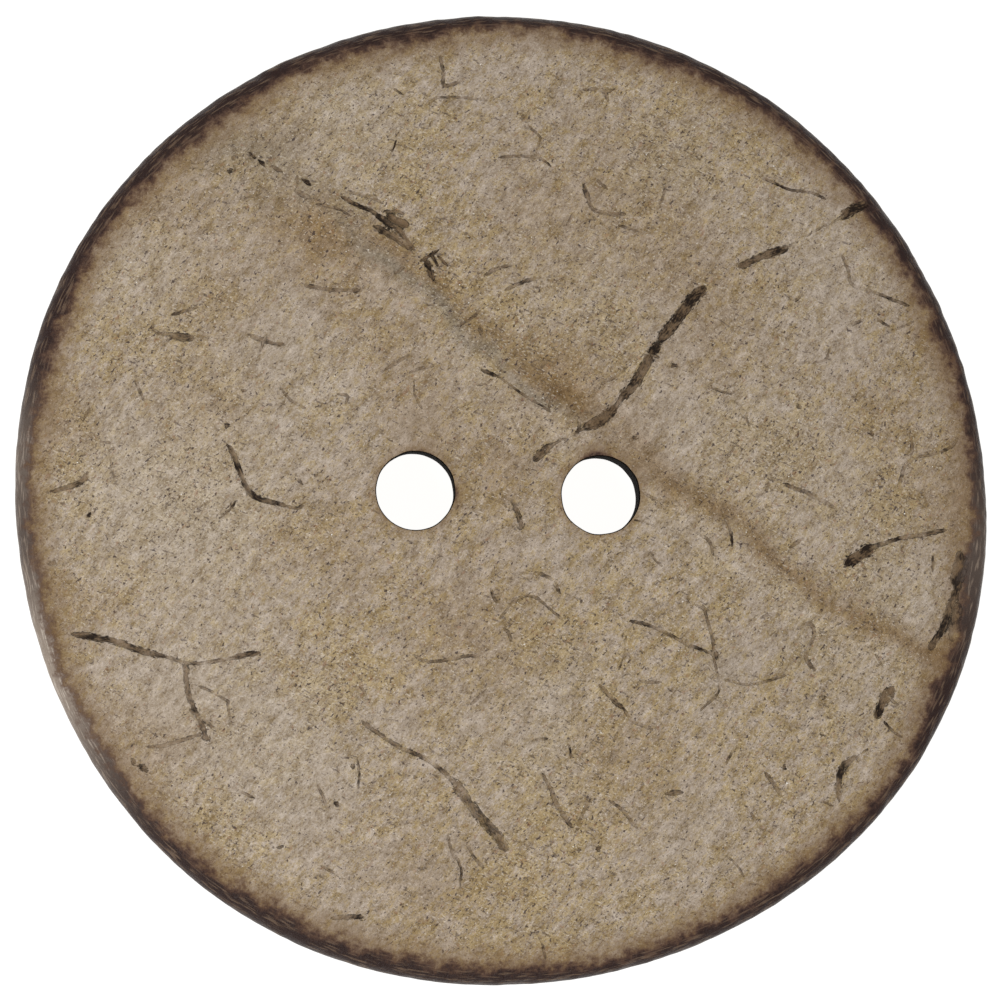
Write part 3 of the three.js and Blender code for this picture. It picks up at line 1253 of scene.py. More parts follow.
    def skin(self, given: SkinInputs) -> tuple[bpy.types.Node, bpy.types.NodeSocket]:
        """The skin away from strands and rim: soft ash and ochre patches under speckles and flecks.

        Args:
            given: What the layer is made from.

        Returns:
            The colour, and the speckle's own pattern, which is its relief too.
        """
        tree, place, marks = given.tree, given.place, given.marks
        fibre = {
            turn: {"Vector": place, "Rotation": (0, 0, math.radians(turn))}
            for turn in (self.fibre_turn, self.cross_turn)
        }
        drawn = {**fibre[self.fibre_turn], "Scale": (self.speckle_drawn_out, 1, 1)}
        drawn = add(tree, "Mapping", drawn, vector_type="TEXTURE")
        scales = {"Vector": drawn, "Scale": 1 / self.speckle_size, "Detail": 4.0, "Roughness": 1.0}
        speckle = add(tree, "TexNoise", scales)
        hues = add(tree, "SeparateColor", {0: speckle.outputs["Color"]})
        blotch = {"Vector": place, "Scale": 1 / self.blotch_size, "Detail": 4.0, "Roughness": 0.8}
        blotch = add(tree, "TexNoise", blotch)
        hue = {0: blotch, 1: self.ochre_patch, 2: hues.outputs["Green"]}
        hue = add(tree, "Math", hue, operation="MULTIPLY_ADD")
        ochre = add(tree, "MapRange", self.ochre_step.of(hue), interpolation_type="SMOOTHSTEP")
        ground = {0: ochre, "A": linear(self.ash), "B": linear(self.ochre)}
        colour = add(tree, "Mix", ground, data_type="RGBA")
        # The first two of these also paint the seam's shade and light on its flanks.
        for name, stain in (("bleached_and_seam_light", self.bleached_and_seam_light), ("browned_and_seam_shade", self.browned_and_seam_shade), ("greyed", self.greyed)):
            colour = add(tree, "Mix", {0: marks[name], "A": colour, "B": linear(stain)}, data_type="RGBA")
        half = self.speckle_contrast / 2
        shade = add(tree, "MapRange", {0: speckle, 3: -half, 4: half}, clamp=False)
        shade = {0: shade, 1: self.speckle_warmth, 2: (1.0, 1.0, 1.0)}
        shade = add(tree, "VectorMath", shade, operation="MULTIPLY_ADD")
        colour = add(tree, "VectorMath", {0: colour, 1: shade}, operation="MULTIPLY")
        for number, fleck in enumerate(self.flecks):
            turn = (self.fibre_turn, self.cross_turn)[number % 2]
            drawn = {**fibre[turn], "Scale": (fleck.drawn_out, 1, 1)}
            drawn = add(tree, "Mapping", drawn, vector_type="TEXTURE")
            noise = add(tree, "TexNoise", {"Vector": drawn, "Scale": 1 / fleck.size, "Detail": fleck.detail})
            crowd = add(tree, "Math", {0: blotch, 1: self.fleck_crowding, 2: noise}, operation="MULTIPLY_ADD")
            mask = SoftStep(fleck.start, fleck.full, fleck.amount).of(crowd)
            mask = add(tree, "MapRange", mask, interpolation_type="SMOOTHSTEP")
            colour = add(tree, "Mix", {0: mask, "A": colour, "B": linear(fleck.colour)}, data_type="RGBA")
        return colour, speckle.outputs["Fac"]

    def strands(self, given: SkinInputs, under: bpy.types.Node) -> tuple[bpy.types.Node, bpy.types.Node]:
        """The fibre strands: bundles of dark fibrils over browner ones, torn at the edges and broken up.

        Args:
            given: What the layer is made from.
            under: The colour of the skin.

        Returns:
            The colour, and how much of each point is strand.
        """
        tree, place, marks = given.tree, given.place, given.marks
        run = add(tree, "Math", {0: marks["vein_along"], 1: 1 / self.fibril_length}, operation="MULTIPLY")
        lane = add(tree, "CombineXYZ", {"X": run, "Y": marks["vein_across"]})
        fibril = add(tree, "TexNoise", {"Vector": lane, "Scale": 1 / self.fibril_size, "Detail": 2.0})
        pieces = add(tree, "TexNoise", {"Vector": place, "Scale": 1 / self.piece_size, "Detail": 3.0})
        reach = {0: fibril, 1: self.fibril_tear, 2: marks["vein"]}
        reach = add(tree, "Math", reach, operation="MULTIPLY_ADD")
        inside = add(tree, "MapRange", self.strand_edge.of(reach), interpolation_type="SMOOTHSTEP")
        whole = {0: pieces, 3: -self.piece_contrast / 2, 4: self.piece_contrast / 2}
        whole = add(tree, "MapRange", whole)
        loose = add(tree, "Math", {0: self.breakup, 1: marks["vein_tone"]}, operation="SUBTRACT")
        whole = {0: whole, 1: loose, 2: marks["vein_tone"]}
        whole = add(tree, "Math", whole, operation="MULTIPLY_ADD", use_clamp=True)
        inside = add(tree, "Math", {0: inside, 1: whole}, operation="MULTIPLY")
        dark = add(tree, "Math", {0: marks["vein_tone"], 1: self.strand_depth}, operation="MULTIPLY")
        for pattern, strength in ((pieces, self.strand_patch), (fibril, self.fibril_contrast)):
            dark = add(tree, "Math", {0: pattern, 1: strength, 2: dark}, operation="MULTIPLY_ADD")
        dark = add(tree, "MapRange", self.strand_dark.of(dark), interpolation_type="SMOOTHSTEP")
        bundle = {0: dark, "A": linear(self.strand_core), "B": linear(self.strand)}
        bundle = add(tree, "Mix", bundle, data_type="RGBA")
        return add(tree, "Mix", {0: inside, "A": under, "B": bundle}, data_type="RGBA"), inside

    def toast(self, given: SkinInputs, under: bpy.types.Node) -> tuple[bpy.types.Node, bpy.types.Node]:
        """The skin near the rim, which darkens like toast and then turns rusty.

        Args:
            given: What the layer is made from.
            under: The colour of the skin.

        Returns:
            The colour, and how far each point is into the ragged border.
        """
        tree, place, marks = given.tree, given.place, given.marks
        border = {"Vector": place, "Scale": 1 / self.border_size, "Detail": 4.0, "Roughness": 0.75}
        border = add(tree, "TexNoise", border)
        ragged = {0: border, 1: self.border_tear, 2: marks["wear"]}
        ragged = add(tree, "Math", ragged, operation="MULTIPLY_ADD")
        colour = under
        for step, tint in ((self.toast_step, self.toasted), (self.rust_step, self.rusty)):
            mask = add(tree, "MapRange", step.of(ragged), interpolation_type="SMOOTHSTEP")
            colour = add(tree, "Mix", {0: mask, "A": colour, "B": linear(tint)}, data_type="RGBA")
        return colour, ragged

    def bare_rim(
        self, given: SkinInputs, under: bpy.types.Node, ragged: bpy.types.Node
    ) -> tuple[bpy.types.Node, bpy.types.Node, bpy.types.Node]:
        """The rim where the skin is worn through to bare shell, with pale glint streaks and a pale highlight
        painted on it.

        Args:
            given: What the layer is made from.
            under: The colour of the skin and its strands.
            ragged: How far each point is into the ragged border.

        Returns:
            The colour, how far the skin is worn through, and the streaks along the rim.
        """
        tree, place, marks = given.tree, given.place, given.marks
        flat = add(tree, "VectorMath", {0: place, 1: (1.0, 1.0, 0.0)}, operation="MULTIPLY")
        out = add(tree, "VectorMath", {0: flat}, operation="LENGTH")
        height = add(tree, "SeparateXYZ", {0: place}).outputs["Z"]
        across = add(tree, "CombineXYZ", {"Z": add(tree, "Math", {0: out, 1: height}, operation="SUBTRACT")})
        way = add(tree, "VectorMath", {0: flat}, operation="NORMALIZE")
        around = {0: way, "Scale": RIM_RADIUS / self.rim_streak_length}
        around = add(tree, "VectorMath", around, operation="SCALE")
        along = add(tree, "VectorMath", {0: around, 1: across}, operation="ADD")
        streaks = add(tree, "TexNoise", {"Vector": along, "Scale": 1 / self.rim_streak, "Detail": 3.0})
        worn = add(tree, "MapRange", self.worn_step.of(ragged), interpolation_type="SMOOTHSTEP")
        # The streaks' pale colour is painted glints along the glossy shell; their bump is the fibre's relief.
        bright = add(tree, "MapRange", self.streak_step.of(streaks), interpolation_type="SMOOTHSTEP")
        shell = {0: bright, "A": linear(self.shell), "B": linear(self.streak)}
        shell = add(tree, "Mix", shell, data_type="RGBA")
        # A pale highlight painted into the colour on the arcs of the rim that face the light.
        painted_highlight_tint = {0: bright, "A": linear(self.painted_highlight_tint), "B": linear(self.painted_highlight_streak)}
        painted_highlight_tint = add(tree, "Mix", painted_highlight_tint, data_type="RGBA")
        shell = add(tree, "Mix", {0: marks["painted_rim_highlight"], "A": shell, "B": painted_highlight_tint}, data_type="RGBA")
        depth = add(tree, "Math", {0: height, 1: -1.0}, operation="MULTIPLY")
        wall = add(tree, "MapRange", self.wall_step.of(depth), interpolation_type="SMOOTHSTEP")
        shell = add(tree, "Mix", {0: wall, "A": shell, "B": linear(self.shell)}, data_type="RGBA")
        return add(tree, "Mix", {0: worn, "A": under, "B": shell}, data_type="RGBA"), worn, streaks


@dataclass(frozen=True)
class PlainShellFinish:
    """Bare coconut shell: dark brown, with fine lighter fibre streaks.

    Attributes:
        name: The material's name, which says what the surface is.
        dark: The shell's colour, as sRGB hex.
        streak: The colour of the fibre in it.
        roughness: How matt the tool left it.
        streak_size: How wide the streaks are.
        drawn_out: How much longer they are along the fibre.
        relief: How deep the tool's marks are.
        fibre_turn: Which way the fibre runs, in degrees from +X.
        ior: The shell's index of refraction.
        specular_level: How much it mirrors, where 0.5 is a clean surface.
        streak_step: The noise levels between which the streaks show.
    """

    name: str
    dark: int
    streak: int
    roughness: float
    streak_size: float
    drawn_out: float
    relief: float
    fibre_turn: float = 48.0
    ior: float = 1.5
    specular_level: float = 0.2
    streak_step: SoftStep = SoftStep(0.35, 0.7)

    def build(self) -> bpy.types.Material:
        """Builds the material.

        Returns:
            The material.
        """
        material = new_material(self.name)
        tree = material.node_tree
        place = place_in_mm(tree)
        turned = {"Vector": place, "Rotation": (0, 0, math.radians(self.fibre_turn))}
        turned["Scale"] = (self.drawn_out, 1, 1)
        turned = add(tree, "Mapping", turned, vector_type="TEXTURE")
        noise = add(tree, "TexNoise", {"Vector": turned, "Scale": 1 / self.streak_size, "Detail": 5.0})
        mask = add(tree, "MapRange", self.streak_step.of(noise), interpolation_type="SMOOTHSTEP")
        colour = {0: mask, "A": linear(self.dark), "B": linear(self.streak)}
        colour = add(tree, "Mix", colour, data_type="RGBA")
        bump = add(tree, "Bump", {"Strength": 1.0, "Distance": self.relief * MM, "Height": noise})
        looks = {
            "Base Color": colour,
            "Roughness": self.roughness,
            "IOR": self.ior,
            "Specular IOR Level": self.specular_level,
            "Normal": bump,
        }
        add(tree, "OutputMaterial", {"Surface": add(tree, "BsdfPrincipled", looks)})
        return material


# Scraped clean of its flesh: long pale fibres in brown shell, with the dull sheen that a blade leaves.
SCRAPED_INNER_SHELL = PlainShellFinish(
    name="scraped_inner_coconut_shell",
    dark=0x4A3426,
    streak=0x7A5C42,
    roughness=0.55,
    streak_size=0.35,
    drawn_out=6.0,
    relief=0.05,
)

# Sanded flat: paler and quite matt, with the fibre cut into short fine streaks.
SANDED_SHELL = PlainShellFinish(
    name="sanded_coconut_shell",
    dark=0x5A4433,
    streak=0x8A6E54,
    roughness=0.7,
    streak_size=0.2,
    drawn_out=3.0,
    relief=0.03,
)

# Drilled, and painted nearly black for the shade down inside the thread holes, with hardly any sheen even
# where light grazes it.
BORE_SHELL_PAINTED_SHADE = PlainShellFinish(
    name="bore_shell_painted_shade",
    dark=0x070504,
    streak=0x15100C,
    roughness=0.85,
    streak_size=0.15,
    drawn_out=2.0,
    relief=0.03,
    specular_level=0.03,
)


# ---- The disc ----


class Draft:
    """A mesh while it is made: points and triangles, each with its surface."""

    def __init__(self) -> None:
        """Starts with nothing in it."""
        self.points: list[np.ndarray] = []
        self.count = 0
        self.triangles: list[np.ndarray] = []
        self.surfaces: list[np.ndarray] = []

    def add_points(self, x: np.ndarray, y: np.ndarray, z: np.ndarray) -> np.ndarray:
        """Adds points.

        Args:
            x: Their x.
            y: Their y.
            z: Their heights.

        Returns:
            Their numbers.
        """
        self.points.append(np.column_stack([x, y, z]))
        self.count += len(x)
        return np.arange(self.count - len(x), self.count)

    def heights(self, numbers: np.ndarray) -> np.ndarray:
        """The heights of some of its points."""
        return np.vstack(self.points)[numbers, 2]

    def add_triangles(self, triangles: np.ndarray, surface: Surface) -> None:
        """Adds triangles, given by their points' numbers, of one surface."""
        self.triangles.append(triangles)
        self.surfaces.append(np.full(len(triangles), surface.value))

    def add_band(self, one: np.ndarray, other: np.ndarray, surface: Surface) -> None:
        """Adds the band between two rings of as many points.

        Args:
            one: The first ring, which has the band's outside on its right when the other is ahead.
            other: The second ring.
            surface: What surface the band is.
        """
        one_next, other_next = np.roll(one, -1), np.roll(other, -1)
        self.add_triangles(np.column_stack([one, other_next, other]), surface)
        self.add_triangles(np.column_stack([one, one_next, other_next]), surface)


def in_outline(points: np.ndarray, loop: np.ndarray) -> np.ndarray:
    """Which points lie inside a closed loop that each ray from its middle crosses once.

    Args:
        points: The points to test.
        loop: The loop's points, going round towards +Y.

    Returns:
        True for each point inside.
    """
    middle = loop.mean(axis=0)
    turns = np.arctan2(loop[:, 1] - middle[1], loop[:, 0] - middle[0])
    outs = np.hypot(loop[:, 0] - middle[0], loop[:, 1] - middle[1])
    order = np.argsort(turns)
    turn = np.arctan2(points[:, 1] - middle[1], points[:, 0] - middle[0])
    out = np.hypot(points[:, 0] - middle[0], points[:, 1] - middle[1])
    return out < np.interp(turn, turns[order], outs[order], period=TURN)


def honeycomb(radius: float, spacing: float) -> np.ndarray:
    """Points of a regular triangle grid that covers a disc about the origin."""
    rows = np.arange(-math.ceil(radius / spacing / 0.866), math.ceil(radius / spacing / 0.866) + 1)
    columns = np.arange(-math.ceil(radius / spacing) - 1, math.ceil(radius / spacing) + 2)
    across, up = np.meshgrid(columns, rows)
    points = np.column_stack([((across + 0.5 * (up % 2)) * spacing).ravel(), (up * spacing * 0.866).ravel()])
    return points[np.hypot(points[:, 0], points[:, 1]) < radius]


def thinned(points: np.ndarray, gap: float) -> np.ndarray:
    """Leaves out the points that come nearer than a gap to an earlier one.

    Args:
        points: The points, the ones that matter most first.
        gap: The least distance to keep.

    Returns:
        The points that are left, in the same order.
    """
    taken: dict[tuple[int, int], list[tuple[float, float]]] = {}
    kept = []
    for number, (x, y) in enumerate(points.tolist()):
        column, row = math.floor(x / gap), math.floor(y / gap)
        near = (
            other
            for side in (-1, 0, 1)
            for up in (-1, 0, 1)
            for other in taken.get((column + side, row + up), ())
        )
        if all((x - a) ** 2 + (y - b) ** 2 >= gap * gap for a, b in near):
            taken.setdefault((column, row), []).append((x, y))
            kept.append(number)
    return points[kept]


def fill(loops: Sequence[np.ndarray], inner: np.ndarray) -> tuple[np.ndarray, np.ndarray]:
    """Triangles that fill the first loop, go round the other loops and use the inner points.

    Args:
        loops: The outer loop and the loops of the holes, going round towards +Y.
        inner: Points between them.

    Returns:
        All points, the loops' own first and in their order, and the triangles, counted from 0.
    """
    points = np.vstack([*loops, inner])
    edges = []
    first = 0
    for loop in loops:
        edges += [(first + step, first + (step + 1) % len(loop)) for step in range(len(loop))]
        first += len(loop)
    flat, _, faces, origins, _, _ = delaunay_2d_cdt([Vector(point) for point in points], edges, [], 0, 1e-5)
    if any(len(origin) != 1 for origin in origins):
        raise ValueError("two points of a face fell together")
    number = np.array([origin[0] for origin in origins])
    triangles = number[np.array(faces)]
    corners = points[triangles]
    middle = corners.mean(axis=1)
    keep = in_outline(middle, loops[0])
    for loop in loops[1:]:
        keep &= ~in_outline(middle, loop)
    triangles, corners = triangles[keep], corners[keep]
    one, two = corners[:, 1] - corners[:, 0], corners[:, 2] - corners[:, 0]
    flipped = one[:, 0] * two[:, 1] - one[:, 1] * two[:, 0] < 0
    triangles[flipped] = triangles[flipped][:, ::-1]
    return points, triangles


@dataclass(frozen=True)
class BoreRing:
    """One ring down the wall of a thread hole.

    Attributes:
        grow: How much further out than the drill it is.
        share: How far down it is, from 0 at the skin to 1 at the back.
        below: How much lower than that it is.
    """

    grow: float
    share: float
    below: float


@dataclass
class ShellDisc:
    """The button's one piece: skin, rim, back and the two thread holes, as one closed mesh.

    Attributes:
        dome_radius: The coconut's curve, on its outer skin.
        shell_thickness: Between the skin and the inner face.
        ground_ring_width: The flat ring ground on the back.
        back_rounding: The rounding from the side wall to the ground ring.
        face_edge_height: How high the rounding at the face's edge starts on the side wall.
        wall_waviness: How much that height changes round the rim.
        wall_lean: How far in the side wall leans on its way down.
        lump_height: How lumpy the rounding is.
        ring_waviness: How uneven the ground ring's inner edge is.
        ring_step: How high the hollow starts above the ground ring.
        hollow_waviness: How uneven the hollow is.
        hole_radius: The drill's radius.
        hole_spacing: Between the middles of the two thread holes.
        hole_break: How much a hole's edge is broken at the back.
        mouth_break: How much it is broken at the skin.
        mouth_tear: How torn a hole's edge is at the skin.
        back_tear: How torn it is at the back.
        bore_waviness: How uneven its wall is.
        mouth_rings: How far out from the drill the rings of points about a mouth at the skin are.
        back_rings: The same at the back.
        bore_rings: The rings of a hole's wall, from the skin down.
        wall_shares: How far down the side wall its rings are.
        rim_count: How many points go round the rim.
        hole_count: How many go round a hole.
        bevel_steps: How many steps the face's rounding has.
        rounding_steps: How many steps the back's rounding has.
        skin_spacing: How far apart the skin's points are.
        mark_spacing: How far apart they are near a mark.
        mark_margin: How far beyond a mark's edge that reaches, in its half widths.
        back_spacing: How far apart the back's points are.
        skin_gap: The least gap between two points of the skin.
        back_gap: The least gap between two points of the back.
        edge_clearance: How far the skin's points stay from its outer ring.
        mouth_clearance: How many times a mouth's size its clear space is.
        back_reach: How much of the hollow the back's points reach over.
        back_clearance: How far they stay from a hole's broken edge.
        faintest_tone: The tone that the faintest mark still gives.
        wear_rise: How far above the rounding's foot the rim's wear starts to grow.
        mouth_wear_fall: How fast a mouth's wear falls off outwards.
        mouth_wear_start: How much wear a mouth needs before it shows.
        outline: The rim.
        skin: The skin's relief and marks.
        mouth_arcs: How worn each hole's mouth is at some angles, by side.
        noise: The unevenness of the holes and the hollow.
    """

    dome_radius: float = 100.0
    shell_thickness: float = 2.9
    ground_ring_width: float = 2.0
    back_rounding: float = 0.5
    face_edge_height: float = 1.62
    wall_waviness: float = 0.05
    wall_lean: float = 0.04
    lump_height: float = 0.05
    ring_waviness: float = 0.12
    ring_step: float = 0.02
    hollow_waviness: float = 0.05
    hole_radius: float = 2.0
    hole_spacing: float = 9.5
    hole_break: float = 0.2
    mouth_break: float = 0.05
    mouth_tear: float = 0.03
    back_tear: float = 0.04
    bore_waviness: float = 0.02
    mouth_rings: tuple[float, ...] = (0.16, 0.32)
    back_rings: tuple[float, ...] = (0.34, 0.6)
    bore_rings: tuple[BoreRing, ...] = (
        BoreRing(0.02, 0.0, 0.015),
        BoreRing(0.0, 0.0, 0.06),
        BoreRing(0.0, 0.0, 0.2),
        BoreRing(0.01, 0.35, 0.0),
        BoreRing(0.04, 0.65, 0.0),
        BoreRing(0.08, 1.0, -0.25),
        BoreRing(0.13, 1.0, -0.08),
    )
    wall_shares: tuple[float, ...] = (0.33, 0.67, 1.0)
    rim_count: int = 880
    hole_count: int = 96
    bevel_steps: int = 8
    rounding_steps: int = 5
    skin_spacing: float = 0.26
    mark_spacing: float = 0.13
    mark_margin: float = 1.6
    back_spacing: float = 0.55
    skin_gap: float = 0.055
    back_gap: float = 0.15
    edge_clearance: float = 0.1
    mouth_clearance: float = 1.04
    back_reach: float = 0.99
    back_clearance: float = 0.08
    faintest_tone: float = 0.15
    wear_rise: float = 0.6
    mouth_wear_fall: float = 1.7
    mouth_wear_start: float = 0.7
    outline: RimOutline = field(default_factory=RimOutline)
    skin: SkinMap = field(default_factory=SkinMap)
    mouth_arcs: dict[int, tuple[RimArc, ...]] = field(
        default_factory=lambda: {
            -1: (RimArc(75, 24, 0.5), RimArc(-5, 18, 0.5)),
            1: (RimArc(95, 30, 0.9), RimArc(15, 20, 0.3)),
        }
    )
    noise: Noise = field(default_factory=lambda: Noise(5))

    def __post_init__(self) -> None:
        """Works out the sizes that follow from the CAD disc's height and outline."""
        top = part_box(DISC_NODE)[1].z / MM
        self.dome_centre = top - self.dome_radius
        self.inner_radius = self.dome_radius - self.shell_thickness
        self.turns = np.arange(self.rim_count) / self.rim_count * TURN
        self.rim = self.outline.radius(self.turns)
        self.ring_inset = self.back_rounding + self.ground_ring_width

    def dome(self, radius: float, out: np.ndarray) -> np.ndarray:
        """Height of a sphere about the dome's centre, at a distance out from the axis."""
        return self.dome_centre + np.sqrt(radius**2 - np.square(out))

    def rim_loop(self, out: np.ndarray) -> np.ndarray:
        """The points of a loop whose distances out from the middle are given."""
        return np.column_stack([out * np.cos(self.turns), out * np.sin(self.turns)])

    def hole_loop(self, side: int, grow: float, ragged: float) -> np.ndarray:
        """A ring of points about one thread hole.

        Args:
            side: -1 for the hole on the -X side, 1 for the other.
            grow: How much further out than the drill the ring is.
            ragged: How uneven the ring is.

        Returns:
            The points, going round towards +Y.
        """
        turn = np.arange(self.hole_count) / self.hole_count * TURN
        uneven = self.noise.at(3 * np.cos(turn) + 9 * side, 3 * np.sin(turn), 1.0)
        radius = self.hole_radius + grow + ragged * uneven
        middle = side * self.hole_spacing / 2
        return np.column_stack([middle + radius * np.cos(turn), radius * np.sin(turn)])

    def skin_height(self, x: np.ndarray, y: np.ndarray) -> np.ndarray:
        """Height of the skin, with all its relief."""
        plain = self.dome(self.dome_radius, np.hypot(x, y))
        return plain + self.skin.height(x, y, self.skin.marks(x, y))

    def face_points(self, loops: Sequence[np.ndarray]) -> np.ndarray:
        """The points inside the face: along the marks, close beside them, and wider apart elsewhere.

        Args:
            loops: The face's outer loop and the two holes' loops.

        Returns:
            The points.
        """
        radius = float(self.rim.max())
        close = honeycomb(radius, self.mark_spacing)
        near = self.skin.marks(*close.T).nearness > -self.mark_margin
        wide = honeycomb(radius, self.skin_spacing)
        away = self.skin.marks(*wide.T).nearness <= -self.mark_margin
        rings = [
            self.hole_loop(side, grow, self.bore_waviness) for side in SIDES for grow in self.mouth_rings
        ]
        loose = np.vstack([self.skin.rails(), *rings, close[near], wide[away]])
        clear = in_outline(loose, loops[0] * (1 - self.edge_clearance / radius))
        for side, loop in zip(SIDES, loops[1:]):
            middle = np.array([side * self.hole_spacing / 2, 0])
            clear &= ~in_outline(loose, middle + (loop - middle) * self.mouth_clearance)
        return thinned(loose[clear], self.skin_gap)

    def loops_of(self, numbers: np.ndarray) -> list[np.ndarray]:
        """The outer loop's and the two holes' points, which come first among a filled face's."""
        return np.split(numbers, self.rim_count + self.hole_count * np.arange(3))[:3]

    def lay_ring(
        self, draft: Draft, ring: np.ndarray, out: np.ndarray, up: np.ndarray | float, surface: Surface
    ) -> np.ndarray:
        """Lays the next ring round the rim, and the band between it and the one before.

        Args:
            draft: The mesh that is being made.
            ring: The points of the ring before.
            out: How far out the new ring's points are.
            up: How high they are.
            surface: What surface the band is.

        Returns:
            The new ring's points.
        """
        lower = draft.add_points(*self.rim_loop(out).T, np.full(self.rim_count, up))
        draft.add_band(lower, ring, surface)
        return lower

    def lay_face(self, draft: Draft) -> list[np.ndarray]:
        """Lays the skin between the rim's rounding and the mouths of the thread holes.

        Args:
            draft: The mesh that is being made.

        Returns:
            The points of its outer ring and of the two mouths.
        """
        mouths = [self.hole_loop(side, self.mouth_break, self.mouth_tear) for side in SIDES]
        loops = [self.rim_loop(self.rim - self.outline.bevel(self.turns)), *mouths]
        points, triangles = fill(loops, self.face_points(loops))
        numbers = draft.add_points(*points.T, self.skin_height(*points.T))
        draft.add_triangles(numbers[triangles], Surface.SKIN)
        return self.loops_of(numbers)

    def lay_rim(self, draft: Draft, ring: np.ndarray) -> np.ndarray:
        """Lays the lumpy rounding at the face's edge, the side wall and the rounding to the ground ring.

        Args:
            draft: The mesh that is being made.
            ring: The points of the face's outer ring.

        Returns:
            The points of the last ring, in the ground ring's plane.
        """
        bevel, top = self.outline.bevel(self.turns), draft.heights(ring)
        wall_top = self.face_edge_height + self.wall_waviness * self.outline.ragged(self.turns, 3.0, 71.7)
        crown = top - bevel * self.rim.mean() / self.dome_radius
        for step in range(1, self.bevel_steps + 1):
            share = step / self.bevel_steps
            lump = self.lump_height * math.sin(share * math.pi) * self.outline.lumps(self.turns, share)
            out = self.rim - bevel + bevel * (2 * share - share**2) + lump
            up = top * (1 - share) ** 2 + 2 * share * (1 - share) * crown + wall_top * share**2 + lump
            ring = self.lay_ring(draft, ring, out, up, Surface.SKIN)
        for share in self.wall_shares:
            up = wall_top + (self.back_rounding - wall_top) * share
            ring = self.lay_ring(draft, ring, self.rim - self.wall_lean * share, up, Surface.SKIN)
        for step in range(1, self.rounding_steps + 1):
            swing = step / self.rounding_steps * math.pi / 2
            out = self.rim - self.wall_lean - self.back_rounding * (1 - math.cos(swing))
            up = self.back_rounding * (1 - math.sin(swing))
            ring = self.lay_ring(draft, ring, out, up, Surface.SKIN)
        return ring

    def lay_back(self, draft: Draft, ring: np.ndarray) -> list[np.ndarray]:
        """Lays the ground ring and the hollow inner face.

        Args:
            draft: The mesh that is being made.
            ring: The points of the rim's last ring.

        Returns:
            The points of the two thread holes' mouths at the back.
        """
        land_out = self.rim - self.wall_lean - self.back_rounding
        hollow_out = self.rim - self.ring_inset
        hollow_out = hollow_out + self.ring_waviness * self.outline.ragged(self.turns, 3.5, 33.3)
        for share, up in ((0.5, 0.0), (0.97, 0.0), (1.0, self.ring_step)):
            out = land_out + (hollow_out - land_out) * share
            ring = self.lay_ring(draft, ring, out, up, Surface.GROUND_RING)
        mouths = [self.hole_loop(side, self.hole_break, self.back_tear) for side in SIDES]
        loops = [self.rim_loop(out), *mouths]
        rings = [self.hole_loop(side, grow, self.back_tear) for side in SIDES for grow in self.back_rings]
        loose = np.vstack([*rings, honeycomb(float(self.rim.max()), self.back_spacing)])
        # Every other point of the ring says well enough what lies inside it.
        clear = in_outline(loose, loops[0][::2] * self.back_reach)
        for side in SIDES:
            grow = self.hole_break + self.back_clearance
            clear &= ~in_outline(loose, self.hole_loop(side, grow, self.back_tear))
        points, triangles = fill(loops, thinned(loose[clear], self.back_gap))
        away = np.hypot(*points.T)
        ring_out = self.rim.mean() - self.ring_inset
        rise = self.dome(self.inner_radius, away) - self.dome(self.inner_radius, ring_out)
        height = np.maximum(rise, 0) + self.ring_step
        height += self.hollow_waviness * smooth_step(ring_out - away, 0, 1.5) * self.noise.at(*points.T, 5.0)
        inner = draft.add_points(*points[self.rim_count :].T, height[self.rim_count :])
        numbers = np.concatenate([ring, inner])
        draft.add_triangles(numbers[triangles][:, ::-1], Surface.INNER_FACE)
        return self.loops_of(numbers)[1:]

    def lay_bores(
        self, draft: Draft, mouths: Sequence[np.ndarray], back_mouths: Sequence[np.ndarray]
    ) -> None:
        """Lays the walls of the two thread holes.

        Args:
            draft: The mesh that is being made.
            mouths: The points of their mouths at the skin.
            back_mouths: The points of their mouths at the back.
        """
        for side, ring, back_ring in zip(SIDES, mouths, back_mouths):
            skin, back = draft.heights(ring), draft.heights(back_ring)
            for bore in self.bore_rings:
                loop = self.hole_loop(side, bore.grow, self.bore_waviness)
                lower = draft.add_points(*loop.T, skin + (back - skin) * bore.share - bore.below)
                draft.add_band(ring, lower, Surface.BORE)
                ring = lower
            draft.add_band(ring, back_ring, Surface.BORE)

    def build_mesh(self) -> tuple[Draft, dict[str, np.ndarray]]:
        """Makes all points and triangles of the disc.

        Returns:
            The draft and the point attributes of the skin, by name.
        """
        draft = Draft()
        face_ring, *mouths = self.lay_face(draft)
        ring = self.lay_rim(draft, face_ring)
        skin_count = draft.count
        self.lay_bores(draft, mouths, self.lay_back(draft, ring))
        return draft, self.skin_attributes(draft, skin_count)

